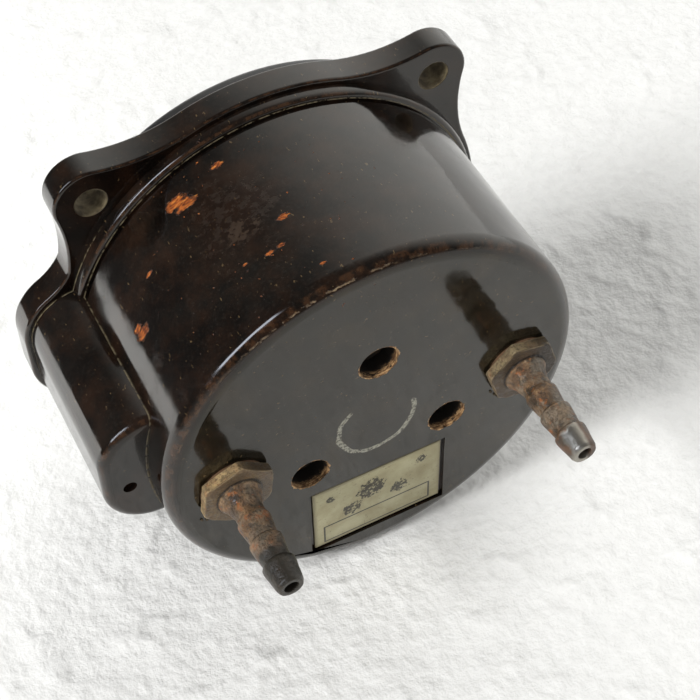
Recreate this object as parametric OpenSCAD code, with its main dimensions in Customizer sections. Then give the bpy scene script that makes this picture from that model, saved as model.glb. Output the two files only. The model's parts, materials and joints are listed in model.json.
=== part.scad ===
// Vertical speed indicator for an 80 mm panel cut-out, with a moulded phenolic case.
// Front, the dial side, faces -Y. The hose nipples face +Y. Up on the dial is +Z.
// The origin is the centre of the flange's rear face, where the instrument seats on its panel.
// The case grows with its collar, and is as deep as the movement inside it.

/* [Case] */
// Radius of the pilot collar, which goes into the panel cut-out
collar_r = 39.75; // [39:0.05:44]
// Length of the pilot collar
collar_len = 2.3; // [1.5:0.1:4]
// How far the case body lies inside the collar
body_step = 1.25; // [0.8:0.05:2]
// Depth of the groove behind the collar
groove_depth = 0.6; // [0.2:0.1:1.5]
// Side wall of the case
case_wall = 4.1; // [3.5:0.1:4.5]
// Rear wall of the case
rear_wall = 4; // [3:0.1:5]
// Depth from the end of the zero-setting housing to the rear face
rear_space = 8.2; // [7.4:0.1:14]
// Rounding of the rear rim
rim_round = 3; // [1:0.25:4]

/* [Flange] */
// Thickness of the mounting flange
flange_t = 5.5; // [5:0.1:8]
// How far the flange stands outside the collar between its lugs
flange_step = 1.15; // [0.8:0.05:3]
// Distance of the bolt holes outside the collar
bolt_step = 4.75; // [4:0.05:7]
// Diameter of each bolt hole
bolt_hole_d = 5.5; // [4:0.1:7]
// Radius of each lug's end
lug_r = 6.4; // [5.5:0.1:8]
// Concave radius between the flange and a lug
lug_fillet_r = 30; // [15:1:40]

/* [Zero-setting housing] */
// Distance of the zero screw inside the housing's outer side
screw_margin = 4.8; // [4.6:0.1:6]
// Half the distance between the housing's two corner centres
lobe_half = 3.7; // [3:0.1:5]
// Corner radius of the housing
lobe_r = 9.4; // [9:0.1:11]
// Wall of the housing
lobe_wall = 2; // [1.6:0.1:2.2]
// End wall of the housing
lobe_end_wall = 2.2; // [1.8:0.1:2.6]
// Rounding of the housing's end
lobe_round = 1.8; // [0.5:0.1:2.5]
// How far the flange stands out round the housing
bulge_rim = 1.1; // [0.5:0.1:2]
// Concave radius between the bulge and a lug
bulge_fillet_r = 12; // [8:1:16]
// Diameter of the blind hole in the housing's end
blind_hole_d = 2.4; // [1:0.1:3]
// Depth of the blind hole in the housing's end
blind_hole_depth = 1; // [0.5:0.1:1.1]

/* [Front glass] */
// Width of the flange outside the glass
glass_land = 5.3; // [5:0.1:6]
// Width of the glass edge that the bezel covers
glass_cover = 2; // [1.5:0.1:4]
// Thickness of the cover glass
glass_t = 1.8; // [1.5:0.1:2.2]
// Thickness of the glass gasket
gasket_t = 0.5; // [0.3:0.1:0.8]
// Height of the bezel ring in front of the flange
bezel_h = 4.2; // [3.8:0.1:5]
// Wall of the bezel ring outside the case's front rim
bezel_wall = 1.3; // [1.2:0.1:2]
// Thickness of the bezel's lip over the glass
bezel_lip = 1; // [0.6:0.1:1.5]
// Thickness of the dial
dial_t = 0.8; // [0.5:0.1:1.2]
// Depth of the dial's rear face in front of the panel seat
dial_seat = 2.4; // [2:0.1:3]

/* [Pointer and gears] */
// Gap between the pointer's tip and the edge of the window
pointer_gap = 5.6; // [2:0.1:10]
// Width of the pointer's blade
pointer_w = 3; // [2:0.1:4]
// Teeth of the pinion
pinion_teeth = 12; // [12:1:14]
// Teeth of the full circle that the toothed sector belongs to
sector_teeth = 120; // [110:1:124]
// Distance of the sector's staff inside the edge of the plates
staff_inset = 3.6; // [3.2:0.1:5]
// Greatest pointer angle either side of zero
pointer_swing = 160; // [90:5:170]
// Thickness of the sector
sector_t = 1.2; // [0.8:0.1:1.4]

/* [Movement] */
// Gap between the movement plates and the case wall
plate_gap = 4.4; // [3:0.1:6]
// Thickness of the rear movement plate
base_plate_t = 1.6; // [1.2:0.1:2]
// Thickness of the front movement plate
front_plate_t = 1.4; // [1:0.1:2]
// Thickness of the bridge
bridge_t = 1.2; // [1:0.1:1.6]
// Distance of the pillars inside the edge of the plates
pillar_inset = 3; // [2.5:0.1:4]
// Radius of each pillar
pillar_r = 2; // [1.5:0.1:2.5]
// Height of the rocking shaft behind the bridge
rocker_rise = 3.9; // [3.8:0.1:6]
// Distance of the rear fixing holes inside the case wall
rear_hole_inset = 19.2; // [17:0.1:21]
// Diameter of the rear fixing holes
rear_hole_d = 7; // [6.4:0.1:8]
// Depth of the rear fixing holes down to the screw seat
rear_hole_depth = 5.4; // [4:0.1:7]

/* [Capsule] */
// Gap between the pressure capsule and the pillars
capsule_gap = 4; // [3:0.25:9]
// Height of each diaphragm from rim to centre
dish_h = 2.9; // [2:0.1:4]
// Sheet thickness of each diaphragm
dish_t = 0.25; // [0.2:0.05:0.3]
// Height of the corrugations
wave_h = 0.4; // [0.2:0.05:0.6]
// Number of corrugations
waves = 4; // [3:1:5]

/* [Hose nipples] */
// Distance of each nipple inside the case wall
nipple_inset = 7.4; // [6.8:0.1:9]
// Height of the nipples above the case axis
nipple_z = -1; // [-3:0.25:1]
// Length of a nipple from the rear face to its tip
nipple_len = 21.7; // [20:0.1:26]
// Radius over the barbs
barb_r = 2.9; // [2.6:0.05:3.5]
// Radius of the nipple's bore
nipple_bore_r = 1.25; // [1:0.05:1.5]
// Width across the flats of the nipple's hexagon
hex_af = 12; // [11:0.5:14]
// Height of the nipple's hexagon
hex_h = 2; // [1.5:0.1:3]
// Thickness of the sealing washer under the hexagon
washer_t = 0.4; // [0.2:0.1:1]
// Radius of the nipple's threaded stem
stem_r = 4; // [3.5:0.1:4.5]

/* [Label place] */
// Width of the blank label plate
label_w = 25.4; // [20:0.2:28]
// Height of the blank label plate
label_h = 17; // [12:0.2:18]
// Thickness of the blank label plate
label_t = 0.4; // [0.2:0.1:0.6]
// Distance of the label plate's lower edge inside the edge of the body
label_inset = 6.5; // [5.5:0.1:9]
// Depth of the recess that holds the label plate
recess_depth = 0.7; // [0.5:0.1:1]
// Gap between the label plate and the recess wall
recess_gap = 0.7; // [0.2:0.1:1]

/* [Hidden] */
$fn = 96;

// Clearances
fit_gap = 0.05;
press_gap = 0.02;
contact_gap = 0.1;
free_gap = 0.3;
blend = 0.02;

// Colours
phenolic = "#20140f";
black_metal = "#1b1b1c";
brass = "#b08d3f";
steel = "#8d8f92";
rusty_steel = "#6b4a35";
copper_alloy = "#b9772f";
cream = "#cfc7a2";
rubber = "#242424";

// Radii of the case, from the collar
body_r = collar_r - body_step;
cavity_r = body_r - case_wall;
flange_r = collar_r + flange_step;
bolt_xz = (collar_r + bolt_step) * cos(45);
spigot_wall = 1.4;
glass_seat_r = flange_r - glass_land;
window_r = glass_seat_r - glass_cover;
bezel_bore_r = glass_seat_r + spigot_wall;
bezel_r = bezel_bore_r + bezel_wall;
pointer_len = window_r - pointer_gap;
nipple_x = cavity_r - nipple_inset;
rear_hole_circle_r = cavity_r - rear_hole_inset;
label_x = 0.3;
label_z = label_inset + label_h / 2 - body_r;

// Radii of the movement
plate_r = cavity_r - plate_gap;
pillar_circle_r = plate_r - pillar_inset;
capsule_r = pillar_circle_r - pillar_r - capsule_gap;

// Front stack, counted forward from the dial's seat
dial_front = -dial_seat - dial_t;
bezel_front = -flange_t - bezel_h;
glass_front = bezel_front + bezel_lip;
glass_rear = glass_front + glass_t;
gasket_rear = glass_rear + gasket_t;

// Movement, counted backward from the front plate to the rear face
front_plate_front = 0.2;
front_plate_rear = front_plate_front + front_plate_t;
sector_front = front_plate_rear + 2;
sector_rear = sector_front + sector_t;
hub_rear = sector_rear + 2.2;
bridge_front = hub_rear + 1.2;
bridge_rear = bridge_front + bridge_t;
pivot_reach = bridge_rear - contact_gap;
tip_r = 0.9;
rocker_y = bridge_rear + rocker_rise;
pip_h = 2.3;
pip_face = rocker_y + tip_r + contact_gap;
capsule_front_y = pip_face + pip_h;
capsule_mid = capsule_front_y + dish_h + dish_t;
capsule_rear_y = capsule_mid + dish_h + dish_t;
port_block_h = 4;
leaf_t = 0.8;
leaf_front = capsule_rear_y + port_block_h;
leaf_rear = leaf_front + leaf_t;
lever_t = 0.6;
lever_front = leaf_rear + contact_gap;
lever_rear = lever_front + lever_t;
base_front = lever_rear + contact_gap;
base_rear = base_front + base_plate_t;
lobe_floor = lever_rear + 2 * free_gap;
lobe_depth = lobe_floor + lobe_end_wall;
rear = lobe_depth + rear_space;
inner_rear = rear - rear_wall;

// Gears
gear_ratio = sector_teeth / pinion_teeth;
sector_swing = pointer_swing / gear_ratio;
gear_distance = plate_r - staff_inset;
gear_module = 2 * gear_distance / (sector_teeth + pinion_teeth);
gear_angle = 200;
pivot_x = gear_distance * cos(gear_angle);
pivot_z = gear_distance * sin(gear_angle);
backlash = 0.035;
pressure_angle = 20;
sector_pitch_r = gear_module * sector_teeth / 2;
sector_rim_angle = sector_swing + 5;
arbor_r = 0.8;
arbor_nose_r = 0.6;
pivot_r = 0.5;

// Linkage from the capsule to the sector
pin_offset = 4.2;
pin_r = 0.6;
pin_x = pivot_x + pin_offset;
fork_tip = sector_rear + 0.8;
pin_end = sector_rear + 2.8;
shaft_r = 0.8;
cheek_x = [3, pin_x + 3];
cheek_t = 1;

// Zero setting
zero_module = 0.4;
zero_pinion_teeth = 10;
lever_teeth = 76;
zero_swing = 90;
lever_swing = zero_swing * zero_pinion_teeth / lever_teeth;
screw_shaft_r = 1.5;
screw_head_r = 3;
screw_head_h = 1.4;
bush_r = 2.3;
bush_end = 3;
zero_x = bezel_r + screw_head_r + free_gap;
lobe_x = zero_x + screw_margin - lobe_r;
lever_distance = zero_module * (zero_pinion_teeth + lever_teeth) / 2;
lever_x = zero_x - lever_distance;
journal_r = 1.1;
journal_end = lobe_depth - blind_hole_depth - 0.4;

// Helpers for the case's main axis
module plate(y0, y1) {
    translate([0, y1, 0])
        rotate([90, 0, 0])
            linear_extrude(y1 - y0)
                children();
}

module turned(x = 0, z = 0) {
    translate([x, 0, z])
        rotate([-90, 0, 0])
            rotate_extrude()
                children();
}

module rod(r, y0, y1, x = 0, z = 0) {
    translate([x, y0, z])
        rotate([-90, 0, 0])
            cylinder(r = r, h = y1 - y0);
}

module hexagon(af, y0, y1, x = 0, z = 0, turn = 0) {
    translate([x, y0, z])
        rotate([-90, turn, 0])
            cylinder(r = af / sqrt(3), h = y1 - y0, $fn = 6);
}

module ring(outer_r, inner_r, y0, y1, x = 0, z = 0) {
    difference() {
        rod(outer_r, y0, y1, x, z);
        rod(inner_r, y0 - 1, y1 + 1, x, z);
    }
}

module cross_rod(r, x0, x1, y, z) {
    translate([x0, y, z])
        rotate([0, 90, 0])
            cylinder(r = r, h = x1 - x0);
}

// A slotted cheese-head screw along Y, with its head at head_y and its shank towards +Y
module screw(x, z, head_y, head_h, head_r, shank_r, shank_len, turn = 0) {
    difference() {
        rod(head_r, head_y, head_y + head_h, x, z);
        translate([x, head_y, z])
            rotate([0, turn, 0])
                cube([head_r * 3, head_h * 0.9, head_r * 0.36], center = true);
    }
    rod(shank_r, head_y + head_h, head_y + head_h + shank_len, x, z);
}

// The same screw seen from the other side, with its shank towards -Y
module rear_screw(x, z, head_y, head_h, head_r, shank_r, shank_len, turn = 0) {
    difference() {
        rod(head_r, head_y - head_h, head_y, x, z);
        translate([x, head_y, z])
            rotate([0, turn, 0])
                cube([head_r * 3, head_h * 0.9, head_r * 0.36], center = true);
    }
    rod(shank_r, head_y - head_h - shank_len, head_y - head_h, x, z);
}

// Centre of the circle of radius f that touches two circles from outside, on the given side
function fillet_centre(c1, r1, c2, r2, f, side) =
    let (
        d = norm(c2 - c1),
        a = acos((d * d + pow(r1 + f, 2) - pow(r2 + f, 2)) / (2 * d * (r1 + f))),
        base = atan2(c2[1] - c1[1], c2[0] - c1[0])
    )
    c1 + (r1 + f) * [cos(base + side * a), sin(base + side * a)];

module web_2d(c1, r1, c2, r2, f, side) {
    centre = fillet_centre(c1, r1, c2, r2, f, side);
    difference() {
        polygon([c1, c2, centre]);
        translate(centre) circle(f + blend);
    }
}

// Involute gear teeth
function involute(base_r, angle) =
    base_r * [cos(angle) + angle * PI / 180 * sin(angle), sin(angle) - angle * PI / 180 * cos(angle)];
function involute_angle(base_r, r) = r <= base_r ? 0 : sqrt(pow(r / base_r, 2) - 1) * 180 / PI;
function turn_2d(p, a) = [p[0] * cos(a) - p[1] * sin(a), p[0] * sin(a) + p[1] * cos(a)];

module tooth_2d(module_size, teeth, addendum, dedendum) {
    pitch_r = module_size * teeth / 2;
    base_r = pitch_r * cos(pressure_angle);
    outer_r = pitch_r + addendum * module_size;
    root_r = pitch_r - dedendum * module_size;
    start = involute_angle(base_r, root_r);
    stop = involute_angle(base_r, outer_r);
    pitch_point = involute(base_r, involute_angle(base_r, pitch_r));
    half_tooth = 90 / teeth - backlash / pitch_r * 180 / PI;
    offset_angle = half_tooth + atan2(pitch_point[1], pitch_point[0]);
    steps = 5;
    flank = [
        for (i = [0:steps]) turn_2d(involute(base_r, start + (stop - start) * i / steps), -offset_angle)
    ];
    foot_r = root_r - 0.3 * module_size;
    foot = foot_r * [cos(offset_angle), -sin(offset_angle)];
    polygon(concat(
        [foot],
        flank,
        [for (i = [steps:-1:0]) [flank[i][0], -flank[i][1]]],
        [[foot[0], -foot[1]]]
    ));
}

// Case
boss_r = 5;
movement_screw_r = 1.5;
blind_hole_x = 5;
blind_hole_z = -2;
module flange_2d() {
    circle(flange_r);
    for (sx = [-1, 1], sz = [-1, 1]) {
        lug = [sx * bolt_xz, sz * bolt_xz];
        translate(lug) circle(lug_r);
        for (side = [-1, 1])
            web_2d([0, 0], flange_r, lug, lug_r, lug_fillet_r, side);
    }
    bulge_2d(bulge_rim);
    for (sz = [-1, 1])
        web_2d([lobe_x, sz * lobe_half], lobe_r + bulge_rim, bolt_xz * [1, sz], lug_r, bulge_fillet_r, -sz);
}

module bulge_2d(rim) {
    for (sz = [-1, 1])
        translate([lobe_x, sz * lobe_half]) circle(lobe_r + rim);
    translate([lobe_x - lobe_r, -lobe_half])
        square([2 * lobe_r + rim, 2 * lobe_half]);
}

module body_profile() {
    polygon([
        [0, -flange_t], [flange_r - 1, -flange_t], [collar_r, -1], [collar_r, collar_len * 0.6],
        [collar_r - 0.35, collar_len * 0.9], [collar_r - 0.8, collar_len],
        [body_r - groove_depth, collar_len + 0.15], [body_r - groove_depth, collar_len + 0.8],
        [body_r, collar_len + 1.1], [body_r, rear - rim_round], [body_r - rim_round, rear], [0, rear]
    ]);
    translate([body_r - rim_round, rear - rim_round]) circle(rim_round);
}

module lobe_solid() {
    for (sz = [-1, 1])
        turned(lobe_x, sz * lobe_half) {
            polygon([
                [0, -1], [lobe_r, -1], [lobe_r, lobe_depth - lobe_round],
                [lobe_r - lobe_round, lobe_depth], [0, lobe_depth]
            ]);
            translate([lobe_r - lobe_round, lobe_depth - lobe_round]) circle(lobe_round);
        }
    translate([0, 0, -lobe_half])
        linear_extrude(2 * lobe_half) {
            polygon([
                [lobe_x - lobe_r / 2, -1], [lobe_x + lobe_r, -1], [lobe_x + lobe_r, lobe_depth - lobe_round],
                [lobe_x + lobe_r - lobe_round, lobe_depth], [lobe_x - lobe_r / 2, lobe_depth]
            ]);
            translate([lobe_x + lobe_r - lobe_round, lobe_depth - lobe_round]) circle(lobe_round);
        }
}

module lobe_cavity_2d() {
    for (sz = [-1, 1])
        translate([lobe_x, sz * lobe_half]) circle(lobe_r - lobe_wall);
    translate([lobe_x - lobe_r, -lobe_half])
        square([2 * lobe_r - lobe_wall, 2 * lobe_half]);
    translate([cavity_r - lobe_r, -lobe_half - lobe_r + lobe_wall + 1.5])
        square([lobe_x - cavity_r + lobe_r, 2 * (lobe_half + lobe_r - lobe_wall - 1.5)]);
}

module case_housing() color(phenolic) {
    difference() {
        union() {
            turned() body_profile();
            plate(-flange_t, 0) flange_2d();
            rod(bezel_bore_r - fit_gap, glass_front, -flange_t + 1);
            lobe_solid();
        }
        rod(cavity_r, -dial_seat - 1, inner_rear);
        rod(glass_seat_r, glass_front - 1, -dial_seat);
        plate(bush_end, lobe_floor) lobe_cavity_2d();
        rod(bush_r + fit_gap, -flange_t - 1, bush_end + 1, zero_x);
        rod(screw_head_r + 0.2, -flange_t - 1, head_seat, zero_x);
        rod(journal_r + fit_gap, lobe_floor - 1, journal_end + contact_gap, zero_x);
        translate([blind_hole_x, 0, blind_hole_z])
            rod(blind_hole_d / 2, lobe_depth - blind_hole_depth, lobe_depth + 1, lobe_x);
        for (sx = [-1, 1], sz = [-1, 1])
            rod(bolt_hole_d / 2, -flange_t - 1, 1, sx * bolt_xz, sz * bolt_xz);
        for (k = [0:2])
            rod(rear_hole_d / 2, rear - rear_hole_depth, rear + 1, rear_hole_x(k), rear_hole_z(k));
        for (sx = [-1, 1])
            rod(stem_r + fit_gap, inner_rear - 1, rear + 1, sx * nipple_x, nipple_z);
        plate(rear - recess_depth, rear + 1)
            translate([label_x - label_w / 2 - recess_gap, label_z - label_h / 2 - recess_gap])
                square([label_w + 2 * recess_gap, label_h + 2 * recess_gap]);
    }
    for (k = [0:2])
        difference() {
            rod(boss_r, base_rear, rear - rear_wall / 2, rear_hole_x(k), rear_hole_z(k));
            rod(movement_screw_r + 0.2, base_rear - 1, rear, rear_hole_x(k), rear_hole_z(k));
            rod(rear_hole_d / 2, rear - rear_hole_depth, rear, rear_hole_x(k), rear_hole_z(k));
        }
}

function rear_hole_x(k) = rear_hole_circle_r * cos(90 + 120 * k);
function rear_hole_z(k) = rear_hole_circle_r * sin(90 + 120 * k);

// Front glass
bezel_round = 1.2;
module bezel_ring() color(black_metal)
    turned()
        difference() {
            union() {
                polygon([
                    [window_r, bezel_front + 0.4], [window_r + 0.8, bezel_front],
                    [bezel_r - bezel_round, bezel_front], [bezel_r, bezel_front + bezel_round],
                    [bezel_r, -flange_t - fit_gap], [window_r, -flange_t - fit_gap]
                ]);
                translate([bezel_r - bezel_round, bezel_front + bezel_round]) circle(bezel_round);
            }
            translate([0, glass_front - fit_gap])
                square([bezel_bore_r, flange_t + bezel_h]);
        }

module cover_glass() color("#9fb8bd", 0.35)
    rod(glass_seat_r - fit_gap, glass_front, glass_rear);

module glass_gasket() color(rubber)
    ring(glass_seat_r - fit_gap, window_r + 0.2, glass_rear, gasket_rear);

module spacer_ring() color(black_metal)
    turned()
        polygon([
            [window_r + 0.2, gasket_rear], [glass_seat_r - 0.2, gasket_rear],
            [glass_seat_r - 0.2, dial_front], [window_r - 1, dial_front],
            [window_r - 1, dial_front - 0.5], [window_r + 0.2, gasket_rear + 0.5]
        ]);

dial_hole_r = 2;
module dial_plate() color(black_metal)
    ring(glass_seat_r - 0.2, dial_hole_r, dial_front, -dial_seat);

// Pointer
pointer_front = dial_front - 1.3;
pointer_tail = 9;
tail_r = 2.2;
pointer_hub_r = 3;
module pointer() color("#e8e4d4") {
    difference() {
        union() {
            plate(pointer_front, pointer_front + 0.4) {
                polygon([
                    [-pointer_len, 0], [-pointer_len * 0.82, pointer_w * 0.2],
                    [-pointer_len * 0.66, pointer_w * 0.5],
                    [-2, pointer_w * 0.3], [pointer_tail, pointer_w * 0.22], [pointer_tail, -pointer_w * 0.22],
                    [-2, -pointer_w * 0.3], [-pointer_len * 0.66, -pointer_w * 0.5],
                    [-pointer_len * 0.82, -pointer_w * 0.2]
                ]);
                translate([pointer_tail, 0]) circle(tail_r);
                circle(pointer_hub_r);
            }
            rod(0.6 * pointer_hub_r, pointer_front - 0.4, pointer_front + 1);
        }
        rod(arbor_nose_r + press_gap, pointer_front - 1, pointer_front + 2);
    }
}

module pointer_arbor() color(steel) {
    rod(arbor_nose_r, pointer_front - 0.3, -dial_seat + 0.6);
    rod(arbor_r, -dial_seat + 0.6, bridge_front - 0.2);
    rod(pivot_r, bridge_front - 0.2, pivot_reach);
}

module gear_2d(module_size, teeth, addendum, dedendum) {
    circle(module_size * (teeth / 2 - dedendum));
    for (k = [0:teeth - 1])
        rotate(360 * k / teeth) tooth_2d(module_size, teeth, addendum, dedendum);
}

module arbor_pinion() color(brass)
    difference() {
        plate(sector_front - 0.8, sector_rear + 0.8)
            rotate(gear_angle + 180 / pinion_teeth)
                gear_2d(gear_module, pinion_teeth, 1, 0.95);
        rod(arbor_r + press_gap, 0, bridge_front);
    }

spring_y0 = hub_rear - 0.9;
spring_y1 = hub_rear + 0.1;
spring_turns = 4;
spring_inner_r = 1.7;
spring_pitch = 1;
spring_t = 0.18;
function spiral(a, shift) = (spring_inner_r + spring_pitch * a / 360 + shift) * [cos(a), sin(a)];
spring_end = spring_turns * 360;
spring_end_r = spring_inner_r + spring_pitch * spring_turns;
module hairspring() color("#39508a")
    plate(spring_y0, spring_y1)
        polygon(concat(
            [for (a = [0:15:spring_end]) spiral(a, -spring_t / 2)],
            [for (a = [spring_end:-15:0]) spiral(a, spring_t / 2)]
        ));

module hairspring_collet() color(brass)
    ring(spring_inner_r - spring_t / 2 - fit_gap, arbor_r + press_gap, spring_y0 - 0.1, spring_y1 + 0.1);

stud_r = 0.7;
module hairspring_stud() color(brass)
    rod(stud_r, spring_y0 - 0.2, bridge_front, spring_end_r + spring_t / 2 + press_gap + stud_r);

// Movement plates
function pillar_angle(k) = [50, 150, 270][k];
function pillar_x(k) = pillar_circle_r * cos(pillar_angle(k));
function pillar_z(k) = pillar_circle_r * sin(pillar_angle(k));
post_r = 1.8;
post_nose_r = 1;
bridge_posts = [[6, 9], [7, -12], [pivot_x + 0.8, pivot_z - 8.5]];
plate_screw_hole_r = 1.3;
plate_window_r = 0.2 * plate_r;
window_circle_r = 0.65 * plate_r;
stop_reach = sector_pitch_r - 4;
stop_r = 0.8;
function stop_angle(side) =
    gear_angle - 180 + side * (sector_rim_angle + sector_swing + 0.5 + stop_r / stop_reach * 180 / PI);
function stop_x(side) = pivot_x + stop_reach * cos(stop_angle(side));
function stop_z(side) = pivot_z + stop_reach * sin(stop_angle(side));

module front_plate() color(brass)
    difference() {
        rod(plate_r, front_plate_front, front_plate_rear);
        rod(arbor_r + fit_gap, 0, front_plate_rear + 1);
        rod(pivot_r + fit_gap, 0, front_plate_rear + 1, pivot_x, pivot_z);
        for (k = [0:2]) {
            rod(plate_screw_hole_r, 0, front_plate_rear + 1, pillar_x(k), pillar_z(k));
            rod(post_nose_r + press_gap, 0, front_plate_rear + 1, bridge_posts[k][0], bridge_posts[k][1]);
        }
        for (side = [-1, 1])
            rod(stop_r + press_gap, 0, front_plate_rear + 1, stop_x(side), stop_z(side));
        for (a = [-40, 5, 90])
            rotate([0, -a, 0])
                rod(plate_window_r * 0.85, 0, front_plate_rear + 1, window_circle_r);
    }

module stop_pins() color(steel)
    for (side = [-1, 1])
        rod(stop_r, front_plate_front, sector_rear + 0.4, stop_x(side), stop_z(side));

module base_plate() color(brass) {
    tube_notch_r = tube_r + 1.2;
    difference() {
        rod(plate_r, base_front, base_rear);
        rod(stud_nut_af * 0.8, base_front - 1, base_rear + 1);
        plate(base_front - 1, base_rear + 1)
            translate([-nipple_x, nipple_z]) {
                circle(tube_notch_r);
                translate([-2 * tube_notch_r, -tube_notch_r]) square(2 * tube_notch_r);
            }
        rod(lever_screw_r + press_gap, base_front - 1, base_rear + 1, lever_x);
        for (k = [0:2]) {
            rod(plate_screw_hole_r, base_front - 1, base_rear + 1, pillar_x(k), pillar_z(k));
            rod(movement_screw_r + fit_gap, base_front - 1, base_rear + 1, rear_hole_x(k), rear_hole_z(k));
        }
        for (side = [-1, 1])
            rod(carrier_screw_r + press_gap, base_front - 1, base_rear + 1, carrier_x, side * carrier_screw_z);
        for (a = [47, 135, 270])
            rotate([0, -a, 0])
                rod(plate_window_r * 0.9, base_front - 1, base_rear + 1, window_circle_r);
    }
}

pillar_screw_r = 1.25;
pillar_screw_len = 5;
pillar_head_r = 2.2;
pillar_head_h = 1.4;
pillar_thread = 4;
module plate_pillars() color(brass)
    for (k = [0:2])
        difference() {
            rod(pillar_r, front_plate_rear, base_front, pillar_x(k), pillar_z(k));
            translate([pillar_x(k), 0, pillar_z(k)]) {
                rod(pillar_screw_r + press_gap, front_plate_rear - 1, front_plate_rear + pillar_thread);
                rod(pillar_screw_r + press_gap, base_front - pillar_thread, base_front + 1);
            }
        }

module front_pillar_screws() color(steel)
    for (k = [0:2])
        screw(
            pillar_x(k), pillar_z(k), front_plate_front - pillar_head_h, pillar_head_h, pillar_head_r,
            pillar_screw_r, pillar_screw_len, 40 * k
        );

module rear_pillar_screws() color(steel)
    for (k = [0:2])
        rear_screw(
            pillar_x(k), pillar_z(k), base_rear + pillar_head_h, pillar_head_h, pillar_head_r,
            pillar_screw_r, pillar_screw_len, 25 * k
        );

// Bridge, which holds the rear pivots of the pointer arbor and the sector staff
module bar_2d(p, q, w) {
    d = q - p;
    translate(p)
        rotate(atan2(d[1], d[0]))
            translate([0, blend - w / 2]) square([norm(d), w - 2 * blend]);
    translate(p) circle(w / 2);
    translate(q) circle(w / 2);
}

lower_bar_z = pivot_z - 5.3;
upper_bar_z = pivot_z + 4.9;
small_screw_r = 0.8;
bridge_head_r = 1.7;
bridge_head_h = 1;
module bridge_plate() color(brass)
    difference() {
        plate(bridge_front, bridge_rear) {
            bar_2d(bridge_posts[0], bridge_posts[1], 5.5);
            bar_2d([0, 0], bridge_posts[1], 6);
            bar_2d([0, 0], bridge_posts[0], 6);
            bar_2d([pivot_x, pivot_z], bridge_posts[2], 5.5);
            bar_2d([pivot_x, lower_bar_z], [bridge_posts[1][0], lower_bar_z], 5);
            bar_2d([pivot_x, upper_bar_z], [0, upper_bar_z], 4);
            bar_2d([pivot_x, pivot_z], [pivot_x, upper_bar_z], 4);
            translate([pin_x + 2, pivot_z - 5]) square([-pin_x, 10]);
        }
        rod(pivot_r + fit_gap, bridge_front - 1, bridge_rear + 1);
        rod(pivot_r + fit_gap, bridge_front - 1, bridge_rear + 1, pivot_x, pivot_z);
        for (p = bridge_posts)
            rod(post_nose_r + press_gap, bridge_front - 1, bridge_rear + 1, p[0], p[1]);
        for (x = bracket_screw_x)
            rod(small_screw_r + press_gap, bridge_front - 1, bridge_rear + 1, x, pivot_z);
    }

bridge_thread = 3;
module bridge_pillars() color(brass)
    for (p = bridge_posts) {
        rod(post_nose_r, front_plate_front, front_plate_rear, p[0], p[1]);
        difference() {
            rod(post_r, front_plate_rear, bridge_front, p[0], p[1]);
            rod(small_screw_r + press_gap, bridge_front - bridge_thread, bridge_front + 1, p[0], p[1]);
        }
    }

module bridge_screws() color(steel)
    for (p = bridge_posts)
        rear_screw(
            p[0], p[1], bridge_rear + bridge_head_h, bridge_head_h, bridge_head_r,
            small_screw_r, bridge_t + bridge_thread - 0.5, 30
        );

// Sector
module sector_2d() {
    rim = sector_rim_angle;
    inner_r = sector_pitch_r - 3.2;
    root_r = sector_pitch_r - 1.25 * gear_module;
    reach = 1.2 * sector_pitch_r;
    difference() {
        intersection() {
            circle(root_r);
            polygon([
                [0, 0], reach * [cos(rim), -sin(rim)], reach * 1.05 * [1, 0], reach * [cos(rim), sin(rim)]
            ]);
        }
        circle(inner_r);
    }
    polygon([
        [0, -2], [pin_offset, -1.7], [inner_r + 1, -1.4], [inner_r + 1, 1.4], [pin_offset, 1.7], [0, 2]
    ]);
    for (side = [-1, 1])
        polygon([
            [0, 0], [0, side * 1.8], (inner_r + 1) * [cos(rim), side * sin(rim)],
            (inner_r + 1) * [cos(rim - 6), side * sin(rim - 6)]
        ]);
    circle(2.6);
    translate([-5, 0]) circle(1.9);
    translate([-5, -1]) square([5, 2]);
    count = floor((sector_rim_angle - 0.5) * sector_teeth / 360 - 0.5);
    for (k = [-count:count])
        rotate(360 * k / sector_teeth) tooth_2d(gear_module, sector_teeth, 0.65, 1.25);
}

module sector_gear() color(brass)
    difference() {
        union() {
            plate(sector_front, sector_rear)
                translate([pivot_x, pivot_z])
                    rotate(gear_angle - 180)
                        sector_2d();
            rod(2.2, sector_front - 0.8, hub_rear, pivot_x, pivot_z);
            rod(1.5, sector_rear, sector_rear + 0.5, pin_x, pivot_z);
        }
        rod(arbor_r + press_gap, 0, bridge_front, pivot_x, pivot_z);
        rod(pin_r + press_gap, 0, bridge_front, pin_x, pivot_z);
    }

module sector_staff() color(steel) {
    rod(pivot_r, front_plate_front + 0.1, front_plate_rear + 0.2, pivot_x, pivot_z);
    rod(arbor_r, front_plate_rear + 0.2, bridge_front - 0.2, pivot_x, pivot_z);
    rod(pivot_r, bridge_front - 0.2, pivot_reach, pivot_x, pivot_z);
}

module drive_pin() color(steel)
    rod(pin_r, sector_front, pin_end, pin_x, pivot_z);

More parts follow.
